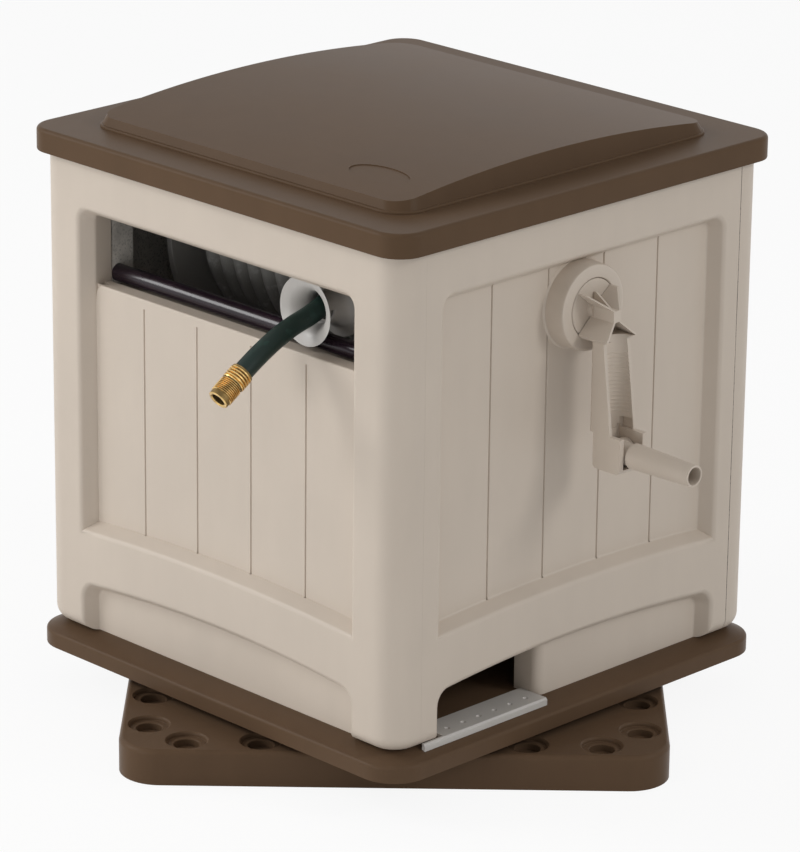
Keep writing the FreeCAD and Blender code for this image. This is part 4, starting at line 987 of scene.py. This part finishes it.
class HOSEREEL_OT_winding(ReelOperator, bpy.types.Operator):
    """Wind the hose on the reel, two layers deep to the eye"""
    bl_idname = "hose_reel.winding"
    bl_label = "Wound hose"

    def make(self, context, settings, finish):
        s = settings.hose
        layers = (("wound_hose_outer", s.wind_radius, 1, "hose_winding"),
                  ("wound_hose_under", s.wind_radius - s.layer, -1, "hose_core"))
        for name, radius, hand, node in layers:
            # The wound hose takes a pale colour that paints in light inside the box
            tube = tube_curve(name, self.helix(s, radius, hand), s.radius, finish["stored_hose"], 5, 4)
            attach(tube, "reel")
            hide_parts(node)

    def helix(self, s, radius, hand, per_turn=16):
        corner = radius / math.cos(math.pi / per_turn)
        points = []
        for i in range(s.turns * per_turn + 1):
            angle = hand * FULL_TURN * i / per_turn
            x = (i / per_turn - s.turns / 2) * s.pitch
            points.append((x, corner * math.cos(angle), REEL_Z + corner * math.sin(angle)))
        return points


class HOSEREEL_OT_base(ReelOperator, bpy.types.Operator):
    """Mould the swivel base with its stepped wells and the ribs under it"""
    bl_idname = "hose_reel.base"
    bl_label = "Swivel base"

    def make(self, context, settings, finish):
        s = settings.cabinet
        top = s.base_height
        plate = round_rim(rounded_block(s.base_half, s.base_corner, 0, top, 12), top, s.base_edge, 5)
        plate = cut(plate, self.underside(s), gather([self.well(s, spot) for spot in self.spots(s)]))
        plate = join(plate, pipe(0, BASE_TOP, BOSS_RADIUS, PIVOT_BORE, soft=0.0008))
        place_piece("swivel_base", turned(plate, 45), "base", [finish["brown_base"]],
                    ["base_plate"])

    def spots(self, s):
        """Places of the wells, four along each edge."""
        reach = s.base_half - s.well_inset
        edge = [Vector((side * along, -reach, 0)) for along in (s.well_near, s.well_far) for side in (-1, 1)]
        return [Matrix.Rotation(i * math.pi / 2, 3, "Z") @ spot for i in range(4) for spot in edge]

    def well(self, s, spot):
        """Waste of one well: flared lip, upper bore, step and lower bore."""
        top, lip = s.base_height, 0.0022
        profile = [(top + lip, 0), (top + lip, s.well_radius + 2.2 * lip), (top, s.well_radius + lip),
                   (top - 0.4 * lip, s.well_radius + 0.4 * lip), (top - 1.2 * lip, s.well_radius),
                   (top - 0.0045, s.well_radius), (top - WELL_STEP, s.well_radius - 0.0006),
                   (top - WELL_STEP, s.well_step + 0.0012), (top - 0.0058, s.well_step + 0.0004),
                   (top - WELL_FLOOR, s.well_step), (top - WELL_FLOOR, 0)]
        return lathe(profile, Matrix.Translation(spot), 40)

    def underside(self, s):
        """Waste under the deck, round the wells' cups, the ribs and a ring."""
        foot, top = -0.01, s.base_height - s.wall
        step, floor = top - WELL_STEP, s.base_height - WELL_FLOOR - s.wall
        inner, outer = s.well_step + s.wall, s.well_radius + s.wall
        cup = [(floor, 0), (floor, inner), (step, inner), (step, outer),
               (top + s.wall, outer), (top + s.wall, 0)]
        cups = gather([lathe(cup, Matrix.Translation(spot), 32) for spot in self.spots(s)])
        rib_low, rib_high = (-s.base_half, -RIB_HALF, foot), (s.base_half, RIB_HALF, top + s.wall)
        ribs = [turned(block(rib_low, rib_high), 45 * i) for i in range(4)]
        ring = pipe(foot, top + s.wall, RING_RADII[1], RING_RADII[0], steps=96)
        room = rounded_block(s.base_half - s.wall, s.base_corner - s.wall, -s.wall, top)
        return cut(room, cups, *ribs, ring)


class HOSEREEL_OT_tray(ReelOperator, bpy.types.Operator):
    """Mould the turntable tray that is the floor of the box"""
    bl_idname = "hose_reel.tray"
    bl_label = "Turntable tray"

    def make(self, context, settings, finish):
        s = settings.cabinet
        low, top, half = TRAY_LOW.z, TRAY_HIGH.z, TRAY_HIGH.x
        shoulder = low + s.tray_rim
        bm = round_rim(rounded_block(half, s.tray_corner, low, shoulder, 12), shoulder, s.wall, 4)
        deck = [face for face in bm.faces
                if face.normal.z > 0.99 and face.calc_center_median().z > shoulder - TINY]
        bmesh.ops.inset_region(bm, faces=deck, thickness=s.tray_slope, use_even_offset=True)
        bmesh.ops.translate(bm, vec=(0, 0, top - shoulder), verts=deck[0].verts)
        round_off(bm, lambda edge: level(edge, shoulder) and folded(edge, 0.15), 0.0015, 2)
        bore = cylinder(low - s.wall, top + s.wall, PIVOT_BORE)
        place_piece("turntable_tray", cut(bm, self.underside(s, low, shoulder, top, half), bore), "cabinet",
                    [finish["brown_base"]], ["tray"])

    def underside(self, s, low, shoulder, top, half):
        """Waste under the deck, round the hub, the track and the ribs."""
        hollow = rounded_block(half - s.wall, s.tray_corner - s.wall, low - s.wall, shoulder - s.wall)
        hollow = join(hollow, rounded_block(half - s.tray_slope - 2 * s.wall, 0.015, low, top - s.wall))
        hub = cylinder(low + FIT, top - PAST, BOSS_RADIUS)
        track = pipe(low, top - s.wall / 2, TRACK_RADII[1], TRACK_RADII[0], steps=96)
        rib_low, rib_high = (-half, -RIB_HALF, low + s.wall), (half, RIB_HALF, top)
        ribs = [turned(block(rib_low, rib_high), 45 * i) for i in range(4)]
        return cut(hollow, *ribs, track, hub)


class HOSEREEL_OT_panels(ReelOperator, bpy.types.Operator):
    """Mould the four panels with their boarded recesses, arched rails and openings"""
    bl_idname = "hose_reel.panels"
    bl_label = "Panels"

    def make(self, context, settings, finish):
        s = settings.cabinet
        looks = [finish["beige_panel"], finish["box_inside"]]
        axle = cylinder(0, BOX_HALF, AXLE_HOLE, along_x(0, REEL_Z))
        made = {
            "front_panel": window_front(s),
            "right_panel": cut(turned(supply_side(s), 90), axle),
            "left_panel": turned(plain_panel(s, s.seam - s.seam_gap), -90),
            "back_panel": join(turned(plain_panel(s, BOX_HALF), 180), *self.knuckles(s)),
        }
        for node, bm in made.items():
            place_piece("moulded_" + node, bm, "cabinet", looks, [node])

    def knuckles(self, s):
        """Pairs of hinge knuckles with the lugs that hold them."""
        y, z = hinge_axis(s)
        lug_back, ends = y - HINGE_BORE - 5 * TINY, (HINGE_HALF + FIT, KNUCKLE_END)
        made = []
        for side in (-1, 1):
            for way in (-1, 1):
                near, far = sorted(side * s.hinge_at + way * end for end in ends)
                made.append(pipe(near, far, s.hinge_radius, HINGE_BORE, along_x(y, z), 24, 0.0004))
                made.append(block((near, BOX_HALF - PAST, z - s.hinge_radius), (far, lug_back, z)))
        return made


class HOSEREEL_OT_supply_sill(ReelOperator, bpy.types.Operator):
    """Lay the pale sill with its dimples in the supply hose's opening"""
    bl_idname = "hose_reel.supply_sill"
    bl_label = "Supply sill"

    def make(self, context, settings, finish):
        s = settings.cabinet
        edge, thick, wing_thick, dimples = 0.002, 0.003, 0.0045, 6
        low, top = FLOOR + FIT, FLOOR + FIT + thick
        start, end = s.leader_from + FIT, s.leader_to - FIT
        lip, inner, bend = edge - BOX_HALF, s.sill_plate - BOX_HALF, -(BOX_HALF - s.foot + 0.002)
        drop = (TRAY_HIGH.z - TRAY_LOW.z - s.tray_rim) / s.tray_slope * (bend - lip)
        section = [(inner, low), (bend, low), (lip, low - drop), (lip, top - edge),
                   (lip + edge, top), (inner, top)]
        bm = prism([(start, y, z) for y, z in section], (end - start, 0, 0))
        wing = prism([(start - s.sill_wing, y, z) for y, z in section], (s.sill_wing + edge, 0, 0))
        bm = join(bm, overlap(wing, block((-BOX_HALF, lip, 0), (BOX_HALF, lip + wing_thick, PANEL_TOP))))
        dimple = [(-0.002, 0), (-0.0017, 0.0016), (-0.0008, 0.0027), (0.0, 0.0031),
                  (0.002, 0.0031), (0.002, 0)]
        for i in range(dimples):
            x = (start + end) / 2 + (i - (dimples - 1) / 2) * s.dimple_pitch
            bm = cut(bm, lathe(dimple, Matrix.Translation((x, s.recess_depth - BOX_HALF, top)), 20))
        place_piece("supply_sill", turned(bm, 90), "cabinet", [finish["pale_guide"]],
                    ["leader_sill"], soft=0.0006)


class HOSEREEL_OT_lid(ReelOperator, bpy.types.Operator):
    """Mould the lid: skirt, low step and a crown that swells from front to back"""
    bl_idname = "hose_reel.lid"
    bl_label = "Lid"

    def make(self, context, settings, finish):
        s = settings.cabinet
        top = LID_TOP - s.crown_edge - s.crown_rise
        low, step_top = top - s.lid_skirt, top + s.step_height
        foot_round, step_round = 0.0012, 0.0018
        skirt = round_rim(rounded_block(LID_HALF, s.lid_corner, low, top, 12), top, s.lid_edge, 6)
        round_rim(skirt, low, foot_round, 2)
        step = rounded_block(s.step_half, s.crown_corner + s.step_half - s.crown_half, top - s.wall, step_top)
        step = round_rim(step, step_top, step_round, 3)
        crown = self.crown(s, top, s.crown_half, s.crown_corner, top - s.wall / 2, 0)
        inside = self.crown(s, top, s.crown_half - s.wall, s.crown_corner - s.wall, top - 2 * s.wall, -s.wall)
        hollow = rounded_block(LID_HALF - s.wall, s.lid_corner - s.wall, low - s.wall, top - s.wall)
        bm = cut(join(skirt, step, crown), hollow, inside, self.bare_oval(s))
        reach = s.hinge_at + 0.05
        bore = cylinder(-reach, reach, HINGE_BORE, along_x(*hinge_axis(s)), 24)
        bm = cut(join(bm, *self.tabs(s, low)), bore)
        place_piece("hinged_lid", bm, "lid_body", [finish["brown_lid"]], ["lid"])

    def crown(self, s, top, half, corner, low, lift, slices=28):
        """Rounded block whose upper face is bowed along Y; the outer one also has draft and a rounded rim."""
        edge, outer = top + s.crown_edge + lift, lift == 0
        bm = rounded_block(half, corner, low, edge)
        for i in range(1, slices):
            y = half * (2 * i / slices - 1)
            bmesh.ops.bisect_plane(bm, geom=whole_of(bm), plane_co=(0, y, 0), plane_no=Y)
        for vert in bm.verts:
            if vert.co.z > edge - TINY:
                vert.co.z += s.crown_rise * (1 - (vert.co.y / half) ** 2)
            elif outer:
                vert.co.xy *= 1 + s.crown_draft / half

        def top_rim(rim):
            return folded(rim, 0.7) and all(v.co.z > edge - TINY for v in rim.verts)
        return round_off(bm, top_rim, 0.0045, 4) if outer else bm

    def bare_oval(self, s):
        """Waste of a shallow plain oval near the crown's front corner."""
        x, y, long, short, depth, points = 0.157, -0.189, 0.042, 0.0195, 0.0009, 48
        outline = []
        for i in range(points):
            angle = FULL_TURN * i / points
            v = y + short * math.sin(angle)
            bow = s.crown_rise * (1 - (v / s.crown_half) ** 2)
            outline.append((x + long * math.cos(angle), v, LID_TOP - s.crown_rise + bow - depth))
        return prism(outline, (0, 0, 0.01))

    def tabs(self, s, low):
        """Middle parts of the hinges, under the lid's rear edge."""
        y, z = hinge_axis(s)
        made = []
        for side in (-1, 1):
            near, far = side * s.hinge_at - HINGE_HALF, side * s.hinge_at + HINGE_HALF
            made.append(cylinder(near, far, s.hinge_radius, along_x(y, z), 24))
            made.append(block((near, LID_HALF - s.wall, z), (far, y + s.hinge_radius, low + s.wall)))
        return made


class HOSEREEL_OT_crank(ReelOperator, bpy.types.Operator):
    """Turn the boss and hub, and mould the crank's arm and its folding grip"""
    bl_idname = "hose_reel.crank"
    bl_label = "Crank"

    def make(self, context, settings, finish):
        s = settings.crank
        face, rim = BOX_HALF - settings.cabinet.recess_depth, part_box("crank_bezel")[1].x
        axle = along_x(0, REEL_Z)
        boss = lathe(self.boss(s, face, rim), axle, 72, ring=True)
        disc = lathe(self.disc(s, face, rim), axle, 64, ring=True)
        pieces = (
            ("crank_boss", boss, "cabinet", "crank_bezel", 0.0),
            ("crank_disc", disc, "reel", "crank_hub", 0.0),
            ("folding_crank_arm", self.arm(s, HUB_HIGH.x), "reel", "crank_arm", 0.0007),
            ("crank_handle", self.grip(s), "grip", "crank_grip", 0.0),
        )
        for name, bm, body, node, soft in pieces:
            place_piece(name, bm, body, [finish["beige_panel"]], [node], soft)

    def boss(self, s, face, front):
        """Profile of the round boss, with its spigot behind the panel's face and the hub's cavity."""
        back, spigot, bearing, cavity = face - 0.0123, 0.039, 0.01605, s.hub_radius + 0.0008
        return [(back, bearing), (back, spigot), (face, spigot), (face, s.bezel_radius + 0.002),
                (face + 0.002, s.bezel_radius), (front - 0.004, s.bezel_radius - 0.001),
                (front - 0.0012, s.bezel_radius - 0.0022), (front, s.bezel_radius - 0.005),
                (front, cavity + 0.001), (front - 0.001, cavity), (face - FIT, cavity), (face - FIT, bearing)]

    def disc(self, s, face, front):
        """Profile of the disc, bored for its screw and for the axle's end."""
        socket, depth, edge = 0.00635, 0.004, 0.001
        return [(face, socket), (face, s.hub_radius), (front - edge, s.hub_radius),
                (front, s.hub_radius - edge), (front, SCREW_BORE), (face + depth, SCREW_BORE),
                (face + depth, socket)]

    def mirrored(self, half_outline, near, far):
        """Prism along X from (y, height above the axis) points and their mirror images."""
        outline = [(near, y, REEL_Z + z) for y, z in half_outline]
        outline += [(near, -y, REEL_Z + z) for y, z in reversed(half_outline)]
        return prism(outline, (far - near, 0, 0))

    def sided(self, outline, half):
        """Prism along Y from (x, height above the axis) points."""
        return prism([(x, -half, REEL_Z + z) for x, z in outline], (0, 2 * half, 0))

    def neck(self, s, hub, front):
        """Bow-tie neck: a solid waist, two wings that fall back to the hub, and a pocket over the trough."""
        back, tip, waist_front, foot_front = hub + PAST, hub + s.neck_tip, front - 0.006, front + 0.0015
        faced = self.mirrored([(s.arm_half, s.neck_low), (s.wing_low, s.trough_top), (s.waist, s.waist_low),
                               (s.waist, s.waist_top), (s.wing_top, s.neck_top)], back, foot_front)
        sided = self.sided([(back, s.neck_low), (front - s.lean, s.neck_low), (foot_front, s.trough_top),
                            (waist_front, s.waist_low), (waist_front, s.waist_top), (tip, s.neck_top),
                            (back, s.neck_top)], 2 * s.arm_half)
        web, upper, lower = s.waist - s.lip, s.wing_top - s.lip, s.wing_low - s.lip
        open_top = self.mirrored([(web, s.waist_top), (upper, s.neck_top), (upper, 2 * s.neck_top)],
                                 hub - PAST, 2 * front)
        hollow = self.mirrored([(lower, s.trough_top), (web, s.waist_low)], hub + 0.006, 2 * front)
        fin_low, fin_top, fin_half = s.waist_top - 0.001, 0.019, 0.00125
        fin = self.sided([(back, fin_low), (hub + 0.027, fin_low), (hub + 0.004, fin_top), (back, fin_top)],
                         fin_half)
        return join(cut(overlap(faced, sided), open_top, hollow), fin)

    def arm(self, s, hub):
        """Trough, neck, fork and boss in one, with the waste of the trough, fork, screw and pin."""
        depth, fork_wall, rounding, boss_depth, boss_radius = 0.025, 0.0053, 0.005, 0.006, 0.010
        front, _, grip_z = self.pivot()
        back, axis = front - depth, along_x(0, REEL_Z)
        fork_low, fork_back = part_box("crank_arm")[0].z, front - s.knuckle - fork_wall
        fork_top, top = grip_z + s.fork_reach, REEL_Z + s.trough_top
        foot = fork_top - REEL_Z
        trough = self.sided([(back, foot), (front + s.lean, foot), (front - s.lean, s.trough_top),
                             (back, s.trough_top)], s.arm_half)
        round_off(trough, lambda edge: along(edge) and edge.verts[0].co.x < back + TINY, rounding, 5)
        fork = block((fork_back, -s.fork_half, fork_low), (front + s.fork_reach, s.fork_half, fork_top))

        def fork_edge(edge):
            return level(edge, fork_low) and abs(edge.verts[0].co.x - edge.verts[1].co.x) < TINY
        round_off(fork, fork_edge, rounding, 4)
        arm = join(trough, self.neck(s, hub, front), fork, cylinder(hub, hub + boss_depth, boss_radius, axis))
        slot = s.fork_half - s.fork_cheek
        notch = block((fork_back + 0.005, -slot, grip_z - s.knuckle - PAST),
                      (front + 2 * s.fork_reach, slot, fork_top + 0.004))
        mouth = block((front, -s.trough, fork_top), (front + s.fork_reach, s.trough, top))
        hole = block((front - 0.011, 0, fork_top), (front + 0.004, s.arm_half - 0.0012, fork_top + 0.012))
        screw = cylinder(hub, front - 0.012, SCREW_BORE, axis, 24)
        pin = cylinder(-PIN_REACH, PIN_REACH, PIN_BORE, facing((front, 0, grip_z), Y), 24)
        return cut(arm, self.ribbed_trough(s, front, fork_top, top), mouth, notch, hole, screw, pin)

    def pivot(self):
        """Middle of the grip's pin."""
        low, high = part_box("grip_pin")
        return (low + high) / 2

    def ribbed_trough(self, s, front, low, high):
        """Waste of the trough, with a row of fine ribs left standing in it."""
        margin, rib = 0.018, 0.0007
        pitch = (high - low - 2 * margin) / max(1, s.ribs)
        profile = [(low - PAST, 0), (low - PAST, s.trough)]
        for i in range(s.ribs):
            z = low + margin + i * pitch
            profile += [(z, s.trough), (z + 0.0006, s.trough - rib), (z + 0.0014, s.trough - rib),
                        (z + 0.002, s.trough)]
        profile += [(high, s.trough), (high, 0)]
        return lathe(profile, Matrix.Translation((front, 0, 0)), 48)

    def grip(self, s):
        pivot = self.pivot()
        across, out = facing(pivot, Y), facing(pivot, X)
        half, soft = s.fork_half - s.fork_cheek - FIT, 0.0008
        root, tip = s.fork_reach + 0.001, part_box("crank_grip")[1].x - pivot.x
        taper = [(root, 0), (root, s.grip_root - 0.0012), (root + 0.0012, s.grip_root),
                 (tip - 0.0012, s.grip_tip), (tip - 0.0004, s.grip_tip - 0.0003), (tip, s.grip_tip - 0.001),
                 (tip, s.grip_bore + 0.0006), (tip - 0.0008, s.grip_bore),
                 (root + s.grip_root, s.grip_bore - 0.001), (root + s.grip_root, 0)]
        knuckle = [(-half, 0), (-half, s.knuckle - soft), (soft - half, s.knuckle), (half - soft, s.knuckle),
                   (half, s.knuckle - soft), (half, 0)]
        neck = cylinder(0, root + PAST, s.knuckle, out)
        handle = join(lathe(knuckle, across), neck, lathe(taper, out, 56))
        return cut(handle, cylinder(-PIN_REACH, PIN_REACH, PIN_BORE, across, 24))


class HOSEREEL_OT_guide(ReelOperator, bpy.types.Operator):
    """Set the gloss rod across the window and slide the bell-mouthed guide on it"""
    bl_idname = "hose_reel.guide"
    bl_label = "Rod and hose guide"

    def make(self, context, settings, finish):
        s = settings.hose
        axis, reach = rod_axis()[0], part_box("guide_rod")[1].x
        rod = pipe(-reach, reach, s.rod, s.rod - 0.002, along_x(axis.y, axis.z), 56, 0.0005)
        place_piece("guide_bar", rod, "cabinet", [finish["dark_rod"]], ["guide_rod"])
        bell = self.bell(s, axis, FLOOR + settings.cabinet.sill_top)
        place_piece("bell_guide", bell, "guide", [finish["pale_guide"]], ["hose_guide"],
                    soft=0.0005)

    def flare(self, s, offset, steps=14):
        """Bell profile: an arc from mouth to throat to mouth."""
        rise, half = s.mouth - s.throat, s.guide_half
        radius = (half * half + rise * rise) / (2 * rise)
        spots = [half * (2 * i / steps - 1) for i in range(steps + 1)]
        return [(x, s.throat + offset + radius - math.sqrt(radius * radius - x * x)) for x in spots]

    def bell(self, s, axis, sill):
        """Bell on its sleeve, cut level over the sill and open at the top."""
        half, throat_z = 0.035, axis.z + s.throat_rise
        place, along = facing((HOSE_X, axis.y, throat_z), Y), facing((HOSE_X, axis.y, axis.z), X)
        outer = lathe(self.flare(s, s.guide_wall) + [(s.guide_half, 0), (-s.guide_half, 0)], place, 72)
        inner = lathe([(-s.guide_half - PAST, 0)] + self.flare(s, 0) + [(s.guide_half + PAST, 0)], place, 72)
        neck = block((HOSE_X - half, axis.y - s.guide_wall, axis.z),
                     (HOSE_X + half, axis.y + s.guide_wall, throat_z))
        reach = s.mouth + 2 * s.guide_wall
        keep = block((HOSE_X - reach, axis.y - reach, sill + 0.001),
                     (HOSE_X + reach, axis.y + reach, throat_z + s.open_rise))
        sleeve = cylinder(-half, half, s.sleeve, along, 56)
        bore = cylinder(-2 * half, 2 * half, s.rod + FIT, along, 56)
        return cut(join(overlap(join(outer, neck), keep), sleeve), inner, bore)


class HOSEREEL_OT_inner_parts(ReelOperator, bpy.types.Operator):
    """Give the reel, the inlet and the fasteners their finishes"""
    bl_idname = "hose_reel.inner_parts"
    bl_label = "Reel, inlet and fasteners"

    def make(self, context, settings, finish):
        looks = {
            # The reel's finish is a lightened grey, painted light for the shaded inside
            "grey_reel": ("reel_drum", "flange_right", "flange_left", "drive_axle", "inlet_bearing"),
            "turned_brass": ("water_axle", "outlet_elbow"),
            "seal_rubber": ("inlet_seal",),
            "slip_plastic": ("slip_ring",),
            "zinc_steel": ("pivot_bolt", "pivot_washer", "panel_screws", "lid_hinge_pins", "crank_screw"),
            "beige_panel": ("grip_pin",),
        }
        for name, nodes in looks.items():
            for node in nodes:
                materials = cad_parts[node].data.materials
                materials.clear()
                materials.append(finish[name])


class HOSEREEL_PT_sidebar(bpy.types.Panel):
    """Lists the pieces of the hose reel"""
    bl_idname = "HOSEREEL_PT_sidebar"
    bl_label = "Hose reel"
    bl_space_type = "VIEW_3D"
    bl_region_type = "UI"
    bl_category = "Hose reel"

    def draw(self, context):
        for operator in OPERATORS:
            self.layout.operator(operator.bl_idname)
        settings = context.scene.hose_reel
        for group in (settings.cabinet, settings.crank, settings.hose, settings.colours, settings.stage):
            box = self.layout.box()
            for name in group.__annotations__:
                box.prop(group, name)


OPERATORS = (
    HOSEREEL_OT_stage,
    HOSEREEL_OT_hose,
    HOSEREEL_OT_winding,
    HOSEREEL_OT_base,
    HOSEREEL_OT_tray,
    HOSEREEL_OT_panels,
    HOSEREEL_OT_supply_sill,
    HOSEREEL_OT_lid,
    HOSEREEL_OT_crank,
    HOSEREEL_OT_guide,
    HOSEREEL_OT_inner_parts,
)
GROUPS = (CabinetSizes, CrankSizes, HoseSizes, ReelColours, StageSettings, HoseReelSettings)


def register():
    for cls in GROUPS + OPERATORS + (HOSEREEL_PT_sidebar,):
        bpy.utils.register_class(cls)
    bpy.types.Scene.hose_reel = PointerProperty(type=HoseReelSettings)


def unregister():
    del bpy.types.Scene.hose_reel
    for cls in reversed(GROUPS + OPERATORS + (HOSEREEL_PT_sidebar,)):
        bpy.utils.unregister_class(cls)


def main():
    register()
    for operator in OPERATORS:
        group, name = operator.bl_idname.split(".")
        getattr(getattr(bpy.ops, group), name)()


if __name__ == "__main__":
    main()
